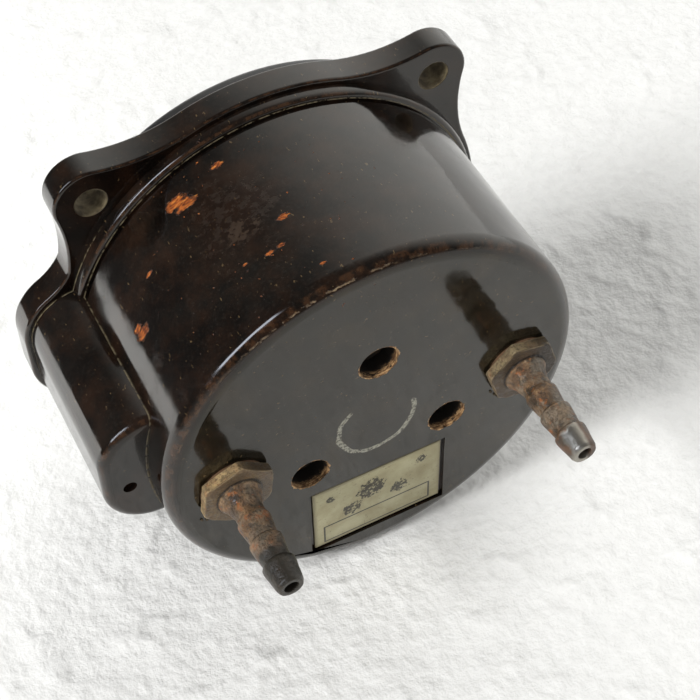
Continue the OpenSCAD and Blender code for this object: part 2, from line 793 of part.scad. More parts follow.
// Rocking shaft between capsule and sector
bracket_screw_x = [-10, -4];
bracket_t = 0.8;
bracket_w = 5;
module rocker_bracket() color(brass)
    difference() {
        union() {
            translate([cheek_x[1] - cheek_t / 2, bridge_rear, pivot_z - bracket_w / 2])
                cube([cheek_x[0] - cheek_x[1] + cheek_t, bracket_t, bracket_w]);
            for (x = cheek_x) {
                translate([x - cheek_t / 2, bridge_rear, pivot_z - bracket_w / 2])
                    cube([cheek_t, rocker_y - bridge_rear, bracket_w]);
                cross_rod(bracket_w / 2, x - cheek_t / 2, x + cheek_t / 2, rocker_y, pivot_z);
            }
        }
        cross_rod(shaft_r + fit_gap, cheek_x[1] - 2, cheek_x[0] + 2, rocker_y, pivot_z);
        for (x = bracket_screw_x)
            rod(small_screw_r + press_gap, bridge_rear - 1, bridge_rear + bracket_t + 1, x, pivot_z);
    }

bracket_head_r = 1.5;
bracket_head_h = 0.8;
module bracket_screws() color(steel)
    for (x = bracket_screw_x)
        rear_screw(
            x, pivot_z, bridge_rear + bracket_t + bracket_head_h, bracket_head_h, bracket_head_r,
            small_screw_r, bracket_t + bridge_t, 50
        );

module rocking_shaft() color(steel)
    cross_rod(shaft_r, pin_x - 1.2, cheek_x[0] + 1.2, rocker_y, pivot_z);

module input_arm() color(brass)
    difference() {
        union() {
            cross_rod(1.6, -0.8, 0.8, rocker_y, pivot_z);
            translate([-0.6, rocker_y - 0.5, pivot_z])
                cube([1.2, 1, -pivot_z]);
            cross_rod(tip_r, -0.8, 0.8, rocker_y, 0);
        }
        cross_rod(shaft_r + press_gap, -2, 2, rocker_y, pivot_z);
    }

fork_gap = 2 * (pin_r + 0.15);
prong_t = 1;
module output_fork() color(brass)
    difference() {
        union() {
            cross_rod(1.8, pin_x - 0.6, pin_x + 0.6, rocker_y, pivot_z);
            translate([pin_x - 0.5, fork_tip, pivot_z - fork_gap / 2 - prong_t])
                cube([1, rocker_y - fork_tip, fork_gap + 2 * prong_t]);
        }
        cross_rod(shaft_r + press_gap, pin_x - 2, pin_x + 2, rocker_y, pivot_z);
        translate([pin_x - 1, fork_tip - 1, pivot_z - fork_gap / 2])
            cube([2, pin_end - fork_tip + 2, fork_gap]);
    }

// Capsule
dish_rim = 1.5;
dish_hub = 4;
dish_steps = 10 * waves;
function dish_share(i) = i / dish_steps;
function dish_r(i) = capsule_r - dish_rim - (capsule_r - dish_rim - dish_hub) * dish_share(i);
function dish_y(i) =
    dish_h * pow(sin(90 * dish_share(i)), 0.8) + wave_h * (1 - cos(360 * waves * dish_share(i))) / 2;
module dish_2d()
    polygon(concat(
        [[capsule_r, 0]],
        [for (i = [0:dish_steps]) [dish_r(i), dish_y(i)]],
        [[2, dish_h], [2, dish_h + dish_t]],
        [for (i = [dish_steps:-1:0]) [dish_r(i), dish_y(i) + dish_t]],
        [[capsule_r, dish_t]]
    ));

module capsule_rear() color(copper_alloy)
    turned() translate([0, capsule_mid]) dish_2d();

module capsule_front() color(copper_alloy)
    turned() translate([0, capsule_mid]) mirror([0, 1]) dish_2d();

module capsule_pip() color(brass) {
    rod(1.9, capsule_front_y, capsule_front_y + dish_t);
    rod(3, capsule_front_y - 0.5, capsule_front_y);
    rod(1.2, pip_face, capsule_front_y - 0.5);
}

stud_stem_r = 1.6;
stud_nut_af = 5.5;
stud_nut_h = 1.5;
stud_port_r = 0.8;
port_body_r = 3.2;
port_y = leaf_front - port_block_h / 2;
tube_r = nipple_bore_r - fit_gap;
module capsule_stud() color(brass)
    difference() {
        union() {
            rod(1.9, capsule_mid + dish_h, capsule_rear_y);
            rod(port_body_r, capsule_rear_y, leaf_front);
            rod(stud_stem_r, leaf_front, leaf_rear + 2);
        }
        rod(stud_port_r, capsule_mid, port_y);
        cross_rod(stud_port_r, -port_body_r - 1, port_body_r + 1, port_y, nipple_z);
        cross_rod(tube_r + press_gap, -port_body_r - 1, -port_body_r / 2, port_y, nipple_z);
        cross_rod(tube_r + press_gap, port_body_r / 2, port_body_r + 1, port_y, nipple_z);
    }

module stud_nut() color(brass)
    difference() {
        hexagon(stud_nut_af, leaf_rear, leaf_rear + stud_nut_h, turn = 10);
        rod(stud_stem_r + press_gap, leaf_rear - 1, leaf_rear + 3);
    }

carrier_x = -15;
carrier_screw_r = 1;
carrier_screw_z = 2.4;
carrier_head_r = 1.8;
carrier_head_h = 0.6;
leaf_end = 10;
leaf_w = 9;
foot_w = 6;
module capsule_carrier() color(steel)
    difference() {
        union() {
            plate(leaf_front, leaf_rear) {
                translate([carrier_x - foot_w / 2, -leaf_w / 2])
                    square([leaf_end + foot_w / 2 - carrier_x, leaf_w]);
                translate([leaf_end, 0]) circle(leaf_w / 2);
            }
            plate(leaf_rear, base_front)
                translate([carrier_x - foot_w / 2, -leaf_w / 2]) square([foot_w, leaf_w]);
        }
        rod(stud_stem_r + press_gap, leaf_front - 1, leaf_rear + 1);
        for (side = [-1, 1])
            rod(carrier_screw_r + press_gap, leaf_front - 1, base_front + 1, carrier_x, side * carrier_screw_z);
    }

// The feed tube passes in front of the carrier, so these heads sit clear above and below it
module carrier_screws() color(steel)
    for (side = [-1, 1])
        screw(
            carrier_x, side * carrier_screw_z, leaf_front - carrier_head_h, carrier_head_h, carrier_head_r,
            carrier_screw_r, base_rear - leaf_front, 20 * side
        );

choke_len = capsule_r / 3;
choke_r = 1.3;
capillary_r = 0.48;
capillary_bore_r = 0.2;
module choke_body() color(brass)
    difference() {
        union() {
            cross_rod(tube_r, port_body_r / 2 + 0.2, port_body_r + 1, port_y, nipple_z);
            cross_rod(choke_r, port_body_r + 0.2, port_body_r + 0.2 + choke_len, port_y, nipple_z);
        }
        cross_rod(capillary_r + press_gap, 0, 5 + choke_len, port_y, nipple_z);
    }

module choke_capillary() color(steel)
    difference() {
        cross_rod(capillary_r, choke_len - 1, 2.15 * choke_len, port_y, nipple_z);
        cross_rod(capillary_bore_r, choke_len - 2, 2.2 * choke_len, port_y, nipple_z);
    }

bend_r = 2.4;
module tube_ring_2d(hole)
    difference() {
        circle(tube_r);
        circle(hole);
    }
feed_hole = 0.7;
stem_end = base_rear + 0.4;
module feed_tube() color(copper_alloy) {
    difference() {
        cross_rod(tube_r, -nipple_x + bend_r, -port_body_r / 2 - 0.2, port_y, nipple_z);
        cross_rod(feed_hole, -nipple_x, 0, port_y, nipple_z);
    }
    translate([-nipple_x + bend_r, port_y + bend_r, nipple_z])
        rotate([0, 0, 180])
            rotate_extrude(angle = 90)
                translate([bend_r, 0]) tube_ring_2d(feed_hole);
    ring(tube_r, feed_hole, port_y + bend_r, stem_end + 2, -nipple_x, nipple_z);
}

// Hose nipples
shoulder_r = 3.9;
neck_r = 2.6;
land = 0.6;
hex_top = rear + washer_t + hex_h;
barb_span = nipple_len - washer_t - hex_h;
barb_cut = 0.5;
corner_r = 0.565 * hex_af;
crown_r = hex_af / 2 + 0.2;
crown_slope = 0.6;
function barb_y(share) = hex_top + barb_span * share;
module nipple(x, turn) {
    difference() {
        union() {
            rod(stem_r, stem_end, rear + washer_t, x, nipple_z);
            intersection() {
                hexagon(hex_af, rear + washer_t, hex_top, x, nipple_z, turn);
                turned(x, nipple_z)
                    polygon([
                        [0, rear], [corner_r, rear], [corner_r, hex_top - (corner_r - crown_r) * crown_slope],
                        [crown_r, hex_top], [0, hex_top]
                    ]);
            }
            turned(x, nipple_z)
                polygon([
                    [0, hex_top - 0.5], [shoulder_r, hex_top - 0.5], [shoulder_r, barb_y(0.03)],
                    [shoulder_r - 0.4, barb_y(0.05)], [neck_r + 0.5, barb_y(0.1)], [neck_r, barb_y(0.19)],
                    [neck_r, barb_y(0.25)], [barb_r, barb_y(0.28)], [barb_r, barb_y(0.28) + land],
                    [barb_r - barb_cut, barb_y(0.495)], [barb_r, barb_y(0.51)], [barb_r, barb_y(0.51) + land],
                    [barb_r - barb_cut, barb_y(0.74)], [barb_r, barb_y(0.755)], [barb_r, barb_y(0.755) + land],
                    [barb_r - barb_cut, barb_y(0.97)], [barb_r - 0.8, barb_y(1)], [0, barb_y(1)]
                ]);
        }
        rod(nipple_bore_r, stem_end - 1, barb_y(1) + 1, x, nipple_z);
    }
}

module nipple_static() color(rusty_steel) nipple(-nipple_x, -12.5);
module nipple_vessel() color(rusty_steel) nipple(nipple_x, 22.6);

module nipple_washers() color("#4a3a2c")
    for (sx = [-1, 1])
        ring(hex_af / 2 - 0.1, stem_r + fit_gap, rear, rear + washer_t, sx * nipple_x, nipple_z);

nut_h = 3;
nut_af = (nipple_inset - 0.5) * sqrt(3);
module nipple_nuts() color(brass)
    for (sx = [-1, 1])
        difference() {
            hexagon(nut_af, inner_rear - nut_h, inner_rear, sx * nipple_x, nipple_z, 15);
            rod(stem_r + press_gap, inner_rear - nut_h - 1, inner_rear + 1, sx * nipple_x, nipple_z);
        }

movement_head_h = 2;
module movement_screws() color(steel)
    for (k = [0:2])
        rear_screw(
            rear_hole_x(k), rear_hole_z(k), rear - rear_hole_depth + movement_head_h,
            movement_head_h, rear_hole_d / 2 - 0.75, movement_screw_r,
            rear - rear_hole_depth - base_front - contact_gap, 35 + 50 * k
        );

// Zero setting
packing_t = 0.7;
head_seat = -flange_t + screw_head_h + 0.2;
zero_pinion_y0 = lever_front - 0.4;
module zero_screw() color(steel) {
    shaft_end = zero_pinion_y0 - press_gap;
    screw(
        zero_x, 0, head_seat - screw_head_h, screw_head_h, screw_head_r,
        screw_shaft_r, shaft_end - head_seat, 30
    );
    rod(journal_r, shaft_end, journal_end, zero_x);
}

module zero_pinion() color(brass)
    difference() {
        plate(zero_pinion_y0, lobe_floor - free_gap)
            translate([zero_x, 0])
                rotate(180 + 180 / zero_pinion_teeth)
                    gear_2d(zero_module, zero_pinion_teeth, 1, 0.95);
        rod(journal_r + press_gap, zero_pinion_y0 - 1, lobe_floor, zero_x);
    }

module zero_bush() color(brass)
    ring(bush_r, screw_shaft_r + fit_gap, head_seat + packing_t + fit_gap, bush_end, zero_x);

module zero_packing() color(rubber)
    ring(bush_r, screw_shaft_r + fit_gap, head_seat, head_seat + packing_t, zero_x);

lever_hub_r = 2.8;
lever_screw_r = 1.2;
lever_head_r = 2.2;
lever_head_h = 0.9;
module lever_2d() {
    pitch_r = zero_module * lever_teeth / 2;
    root_r = pitch_r - 1.25 * zero_module;
    rim = lever_swing + 7;
    reach = 1.2 * pitch_r;
    intersection() {
        circle(root_r);
        polygon([[0, 0], reach * [cos(rim), -sin(rim)], reach * 1.05 * [1, 0], reach * [cos(rim), sin(rim)]]);
    }
    circle(lever_hub_r);
    bar_2d([0, 0], [leaf_end - lever_x, 0], 3);
    count = floor((rim - 1) * lever_teeth / 360 - 0.5);
    for (k = [-count:count])
        rotate(360 * k / lever_teeth) tooth_2d(zero_module, lever_teeth, 0.6, 1.25);
}

module zero_lever() color(brass)
    difference() {
        plate(lever_front, lever_rear)
            translate([lever_x, 0]) lever_2d();
        rod(lever_screw_r + fit_gap, lever_front - 1, lever_rear + 1, lever_x);
    }

module lever_screw() color(steel)
    screw(
        lever_x, 0, lever_front - contact_gap - lever_head_h, lever_head_h, lever_head_r,
        lever_screw_r, lever_t + contact_gap + base_plate_t, 60
    );

// Label place
module label_plate() color(cream)
    plate(rear - recess_depth, rear - recess_depth + label_t)
        translate([label_x - label_w / 2, label_z - label_h / 2])
            square([label_w, label_h]);

case_housing();
bezel_ring();
cover_glass();
glass_gasket();
spacer_ring();
dial_plate();
pointer();
pointer_arbor();
arbor_pinion();
hairspring();
hairspring_collet();
hairspring_stud();
front_plate();
stop_pins();
bridge_plate();
bridge_pillars();
bridge_screws();
plate_pillars();
front_pillar_screws();
rear_pillar_screws();
base_plate();
sector_gear();
sector_staff();
drive_pin();
rocker_bracket();
bracket_screws();
rocking_shaft();
input_arm();
output_fork();
capsule_front();
capsule_rear();
capsule_pip();
capsule_stud();
stud_nut();
capsule_carrier();
carrier_screws();
choke_body();
choke_capillary();
feed_tube();
nipple_static();
nipple_vessel();
nipple_washers();
nipple_nuts();
movement_screws();
zero_screw();
zero_pinion();
zero_bush();
zero_packing();
zero_lever();
lever_screw();
label_plate();
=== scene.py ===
import json
import math
from functools import partial, reduce

import bmesh
import bpy
import numpy as np
from mathutils import Matrix, Vector, noise


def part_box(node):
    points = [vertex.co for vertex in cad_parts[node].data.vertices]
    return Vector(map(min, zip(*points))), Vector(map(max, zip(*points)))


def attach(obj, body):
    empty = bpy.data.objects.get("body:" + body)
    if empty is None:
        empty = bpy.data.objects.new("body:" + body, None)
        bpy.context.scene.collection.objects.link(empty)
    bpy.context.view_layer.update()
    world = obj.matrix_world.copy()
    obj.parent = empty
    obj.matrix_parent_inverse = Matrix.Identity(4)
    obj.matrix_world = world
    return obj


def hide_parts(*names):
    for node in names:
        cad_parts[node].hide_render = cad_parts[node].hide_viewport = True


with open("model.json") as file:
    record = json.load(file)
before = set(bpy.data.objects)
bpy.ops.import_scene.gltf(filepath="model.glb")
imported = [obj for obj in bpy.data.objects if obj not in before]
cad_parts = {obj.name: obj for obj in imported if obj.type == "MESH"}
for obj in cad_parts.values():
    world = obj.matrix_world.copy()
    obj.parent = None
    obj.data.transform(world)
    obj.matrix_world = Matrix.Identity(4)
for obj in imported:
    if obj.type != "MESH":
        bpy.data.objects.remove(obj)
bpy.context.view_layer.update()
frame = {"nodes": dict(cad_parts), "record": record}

bl_info = {
    "name": "Vertical Speed Indicator Finish",
    "version": (1, 0, 0),
    "blender": (4, 5, 0),
    "location": "3D View > Sidebar > Indicator",
    "description": "Gives a panel instrument its worn moulded case, rusted nipples, dial and glass",
    "category": "Object",
}

MM = 0.001

# Sizes and places on the case, in millimetres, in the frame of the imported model
REAR = round(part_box("case_housing")[1].y / MM, 2)
BODY_R = 38.5
REAR_FLAT_R = 35
FLANGE_T = 5.5
FLANGE_REACH = 40.9
OUTLINE_R = 39.9
BOLT_XZ = 31.466
BOLT_AREA_R = 3.0
SCREW_X = 41.6
SCREW_AREA_R = 3.6
REAR_HOLES = [(0.0, 15.2), (-13.16, -7.6), (13.16, -7.6)]
REAR_HOLE_R = 3.5
NIPPLES = [(-27.0, -1.0), (27.0, -1.0)]
RING_CENTRE = (0.5, -0.5)
RING_R = 7.2
CHIPS = [
    ((19.9, 7.9, 33.0), 2.3), ((18.7, 9.4, 33.7), 2.2), ((11.8, 6.7, 36.6), 1.2),
    ((7.8, 22.7, 37.7), 1.15), ((12.4, 27.4, 36.5), 0.8), ((10.4, 27.3, 37.1), 0.75),
    ((6.7, 34.2, 37.9), 0.6), ((32.3, 20.4, 21.0), 1.9), ((32.6, 18.9, 20.5), 1.3),
    ((16.2, 26.5, 34.9), 0.5), ((2.5, 36.0, 38.1), 0.45), ((27.9, 14.2, 26.5), 0.8),
]
ARROW_X = 14.5
LABEL_BOX_X = (-10.2, 11.0)
LABEL_BOX_Z = (-31.2, -26.5)
LABEL_SMUDGES = [
    ((1.5, 39.1, -20.5), 2.6), ((-4.0, 39.1, -23.5), 1.6), ((5.5, 39.1, -24.0), 1.8),
    ((-8.5, 39.1, -18.0), 1.0), ((9.5, 39.1, -18.5), 0.9),
]

# A point this close to a face's plane lies on it
NEAR = 0.01

# The object rests on the flange's edge and on its rear rim, this far apart along the case
REST_SPAN = 39.4

# In metres
LABEL_LO, LABEL_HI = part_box("label_plate")
DIAL_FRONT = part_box("dial_plate")[0].y
SMALL_EDGE = 0.00012
LABEL_EDGE = 0.0001
FLOOR_SIZE = 1.6
FLOOR_Z = -0.0412

# How far the dial's paint stands off the plate, front and back, and how far inside the marks' ends a figure
# of one or two digits has its middle
PAINT_LIFT = (0.00004, 0.00001)
FIGURE_IN = {1: 0.0078, 2: 0.0094}
FIGURE_EVERY = 5
DUST = (0.30, 0.28, 0.24)


# Properties
COLOUR = {"subtype": "COLOR", "size": 3, "min": 0, "max": 1}


class CaseSettings(bpy.types.PropertyGroup):
    """Looks of the moulded case"""
    dark: bpy.props.FloatVectorProperty(
        name="Moulding", description="Darkest colour of the moulding",
        default=(0.0030, 0.0021, 0.0017), **COLOUR)
    brown: bpy.props.FloatVectorProperty(
        name="Mottle", description="Brown of the mottled filler", default=(0.0150, 0.0066, 0.0034), **COLOUR)
    chipped: bpy.props.FloatVectorProperty(
        name="Chips", description="Fresh filler inside the chips", default=(0.40, 0.105, 0.020), **COLOUR)
    worn: bpy.props.FloatVectorProperty(
        name="Worn edges", description="Tan of edges where the skin is rubbed through",
        default=(0.14, 0.06, 0.024), **COLOUR)
    edge_round: bpy.props.FloatProperty(
        name="Edge rounding", description="Rounding of the flange's edges",
        unit="LENGTH", min=0.0001, max=0.001, default=0.0006)
    hole_round: bpy.props.FloatProperty(
        name="Hole rounding", description="Rounding of the holes' rims",
        unit="LENGTH", min=0.00005, max=0.0005, default=0.0001)


class FittingSettings(bpy.types.PropertyGroup):
    """Looks of the hose nipples"""
    rust: bpy.props.FloatVectorProperty(
        name="Rust", description="Main rust colour", default=(0.085, 0.050, 0.027), **COLOUR)
    rust_light: bpy.props.FloatVectorProperty(
        name="Bright rust", description="Rust in the corners", default=(0.205, 0.125, 0.066), **COLOUR)
    bare: bpy.props.FloatVectorProperty(
        name="Rubbed metal", description="Metal on the rubbed edges", default=(0.31, 0.24, 0.135), **COLOUR)
    voxel: bpy.props.FloatProperty(
        name="Mesh size", description="Cell size of the pitted surface",
        unit="LENGTH", min=0.0001, max=0.0006, default=0.000125)
    pitting: bpy.props.FloatProperty(
        name="Pitting", description="Depth of the rust pits",
        unit="LENGTH", min=0.0, max=0.0003, default=0.00006)


class DialSettings(bpy.types.PropertyGroup):
    """Marks on the dial"""
    steps: bpy.props.IntProperty(
        name="Steps", description="Dial steps either side of zero", min=5, max=30, default=15)
    span: bpy.props.FloatProperty(
        name="Span", description="Angle from zero to the last mark",
        subtype="ANGLE", min=1.0, max=3.0, default=math.radians(160))
    mark_r: bpy.props.FloatProperty(
        name="Mark radius", description="Outer ends of the marks",
        unit="LENGTH", min=0.02, max=0.033, default=0.0312)
    figure_h: bpy.props.FloatProperty(
        name="Figure height", description="Height of the dial figures",
        unit="LENGTH", min=0.002, max=0.008, default=0.0056)
    paint: bpy.props.FloatVectorProperty(
        name="Luminous paint", description="Aged paint of marks and figures",
        default=(0.62, 0.60, 0.42), **COLOUR)


class StageSettings(bpy.types.PropertyGroup):
    """Camera and lights"""
    lens: bpy.props.FloatProperty(
        name="Lens", description="Focal length", subtype="DISTANCE_CAMERA", default=84.48)
    floor: bpy.props.FloatVectorProperty(
        name="Floor", description="Floor colour", default=(0.89, 0.89, 0.88), **COLOUR)
    daylight: bpy.props.FloatProperty(
        name="Daylight", description="Strength of the window at the left", min=0, max=6, default=3.1)
    floor_lamp: bpy.props.FloatProperty(
        name="Floor lamp", description="Power of the lamp over the floor beyond the picture",
        unit="POWER", min=0, max=20, default=7.5)
    softness: bpy.props.FloatProperty(
        name="Softness", description="Angle that the window fills",
        subtype="ANGLE", min=0, max=1.5, default=math.radians(20))


# Node helpers
class Wire:
    """An output of a node. Another output is had by its name, and arithmetic adds Math nodes."""
    def __init__(self, node, key=0):
        self.node = node
        self.tree = node.id_data
        self.socket = node.outputs[key]

    def __getitem__(self, key):
        return Wire(self.node, key)

    def __add__(self, other):
        return maths("ADD", self, other)

    def __radd__(self, other):
        return maths("ADD", other, self)

    def __sub__(self, other):
        return maths("SUBTRACT", self, other)

    def __rsub__(self, other):
        return maths("SUBTRACT", other, self)

    def __mul__(self, other):
        return maths("MULTIPLY", self, other)

    def __abs__(self):
        return maths("ABSOLUTE", self)


def join(node, inputs):
    """Links or sets a node's inputs by name or number, and gives a colour its alpha."""
    for key, value in inputs.items():
        socket = node.inputs[key]
        if isinstance(value, Wire):
            node.id_data.links.new(value.socket, socket)
        elif socket.type == "RGBA":
            socket.default_value = (*value[:3], 1)
        else:
            socket.default_value = value


def put(kind, inputs=None, key=0, tree=None, **settings):
    """Adds a node to the tree of its first linked input, or to the given one, and gives its output."""
    inputs = inputs or {}
    tree = tree or next(value.tree for value in inputs.values() if isinstance(value, Wire))
    node = tree.nodes.new(kind)
    for name, value in settings.items():
        setattr(node, name, value)
    join(node, inputs)
    return Wire(node, key)


def find(tree, kind):
    return next(node for node in tree.nodes if node.type == kind)


def maths(operation, *values):
    return put("ShaderNodeMath", dict(enumerate(values)), operation=operation)


def most(*values):
    return reduce(partial(maths, "MAXIMUM"), values)


def least(*values):
    return reduce(partial(maths, "MINIMUM"), values)


def vector(operation, *values):
    key = "Value" if operation in ("DISTANCE", "LENGTH", "DOT_PRODUCT") else 0
    return put("ShaderNodeVectorMath", dict(enumerate(values)), key, operation=operation)


def mix(mask, low, high):
    """Colour low where the mask is 0 and high where it is 1."""
    return put("ShaderNodeMix", {0: mask, 6: low, 7: high}, 2, data_type="RGBA")


def blend(mask, low, high):
    """Value low where the mask is 0 and high where it is 1."""
    return put("ShaderNodeMix", {0: mask, 2: low, 3: high})


def ramp(value, low, high):
    """0 below low and 1 above high, smooth between them."""
    return put("ShaderNodeMapRange", {0: value, 1: low, 2: high}, interpolation_type="SMOOTHSTEP")


def texture(point, scale, detail, roughness=0.5):
    return put("ShaderNodeTexNoise", {
        "Vector": point, "Scale": scale, "Detail": detail, "Roughness": roughness})


def bump(height, strength, distance):
    return put("ShaderNodeBump", {"Strength": strength, "Distance": distance, "Height": height})


def times(colour, *factors):
    """A colour multiplied by one factor, or by one for each channel."""
    return [channel * factor for channel, factor in zip(colour, factors * 3)]


def group(name, **inputs):
    """Turns a drawing into a node group, made when it is first used and called with its inputs in order."""
    def make(draw):
        tree = bpy.data.node_groups.new(name, "ShaderNodeTree")
        for label, value in inputs.items():
            kind = "NodeSocketVector" if isinstance(value, tuple) else "NodeSocketFloat"
            tree.interface.new_socket(label, in_out="INPUT", socket_type=kind).default_value = value
        given = tree.nodes.new("NodeGroupInput")
        drawn = draw(*(Wire(given, label) for label in inputs))
        for label in drawn:
            kind = "NodeSocketVector" if label == "Point" else "NodeSocketFloat"
            tree.interface.new_socket(label, in_out="OUTPUT", socket_type=kind)
        join(tree.nodes.new("NodeGroupOutput"), drawn)
        return tree

    def wrap(draw):
        def use(*values, tree=None):
            node_tree = bpy.data.node_groups.get(name) or make(draw)
            return put("ShaderNodeGroup", dict(zip(inputs, values)), tree=tree, node_tree=node_tree)
        return use
    return wrap


@group("Millimetres", Scale=1000.0)
def millimetres(scale):
    """The point on the piece in millimetres, its three parts, and its distance from the case axis."""
    metres = put("ShaderNodeTexCoord", key="Object", tree=scale.tree)
    point = put("ShaderNodeVectorMath", {0: metres, "Scale": scale}, operation="SCALE")
    axes = put("ShaderNodeSeparateXYZ", {0: point})
    radius = vector("LENGTH", vector("MULTIPLY", point, (1, 0, 1)))
    return {"Point": point, "X": axes["X"], "Y": axes["Y"], "Z": axes["Z"], "Radius": radius}


@group("Patches", Point=(0, 0, 0), Scale=0.3, Detail=5.0, From=0.45, To=0.6, Stretch=(1, 1, 1))
def patches(point, scale, detail, low, high, stretch):
    """Noise turned into a mask with soft or hard borders."""
    cloud = texture(vector("MULTIPLY", point, stretch), scale, detail, 0.6)
    return {"Mask": ramp(cloud, low, high), "Noise": cloud}


def lean(tree, axis):
    """How far the face looks along an axis."""
    return put("ShaderNodeSeparateXYZ", {0: put("ShaderNodeNewGeometry", key="Normal", tree=tree)}, axis)


@group("Edge rub", Point=(0, 0, 0), Spread=0.25, Breakup=0.6)
def edge_rub(point, spread, breakup):
    """Mask of the rounded edges of a turned or flat part, from how far its face leans off the case axis."""
    band = 1 - ramp(abs(abs(lean(point.tree, "Y")) - 0.62), 0.12, 0.12 + spread)
    return {"Mask": blend(breakup, band, band * patches(point, 0.55, 6.0, 0.42, 0.62))}


@group("Scratches", Point=(0, 0, 0), Amount=0.5)
def scratches(point, amount):
    """Fine straight scratches that cross at different angles."""
    lines = []
    for k, (turn, size) in enumerate([(0.4, 1.1), (1.5, 0.8), (2.6, 1.4)]):
        turned = put("ShaderNodeMapping", {
            "Vector": point, "Location": (3.1 * k, 1.7 * k, 2.3 * k),
            "Rotation": (turn, turn * 0.7, turn * 1.3), "Scale": (0.05 * size, 2.4 * size, 1.9 * size)})
        lines.append(1 - ramp(abs(texture(turned, 1.0, 2.0) - 0.5), 0.0, 0.012))
    return {"Mask": most(*lines) * patches(point, 0.12, 3.0, 0.45, 0.62) * amount}


@group("Dust", Point=(0, 0, 0), Amount=0.2)
def dust(point, amount):
    """Dust that lies on faces which look up, thicker in patches."""
    specks = patches(point, 1.8, 8.0, 0.5, 0.72)
    film = patches(point, 0.09, 4.0, 0.35, 0.7)
    return {"Mask": (specks * 0.7 + film * 0.5) * ramp(lean(point.tree, "Z"), -0.2, 1.0) * amount}


@group("Turning marks", Radius=0.0, Depth=0.0, Pitch=6.0)
def turning_marks(radius, depth, pitch):
    """Fine rings left by turning or rolling, round the case axis."""
    return {"Height": texture(put("ShaderNodeCombineXYZ", {0: radius, 1: depth * 0.7}), pitch, 3.0)}


def spot(point, centre, reach, fuzz, flat=1.0):
    """1 inside a ragged blot round a point on the case, in millimetres, narrowed along the axis by flat."""
    if flat != 1.0:
        point = vector("MULTIPLY", point, (1, flat, 1))
        centre = (centre[0], centre[1] * flat, centre[2])
    ragged = texture(point, 2.2 / reach, 5.0, 0.7)
    edge = vector("DISTANCE", point, centre) + (ragged - 0.5) * (reach * 2.2)
    return 1 - ramp(edge, reach * (1 - fuzz), reach)


# Finishes
def finish(draw):
    """Turns the drawing of a finish into a maker of materials, each made once for its name."""
    def make(name, *looks, **more):
        material = bpy.data.materials.get(name)
        if material is None:
            material = bpy.data.materials.new(name)
            material.use_nodes = True
            drawn = draw(millimetres(tree=material.node_tree), *looks, **more)
            sockets = {label.replace("_", " "): value for label, value in drawn.items()}
            join(find(material.node_tree, "BSDF_PRINCIPLED"), sockets)
        return material
    return make


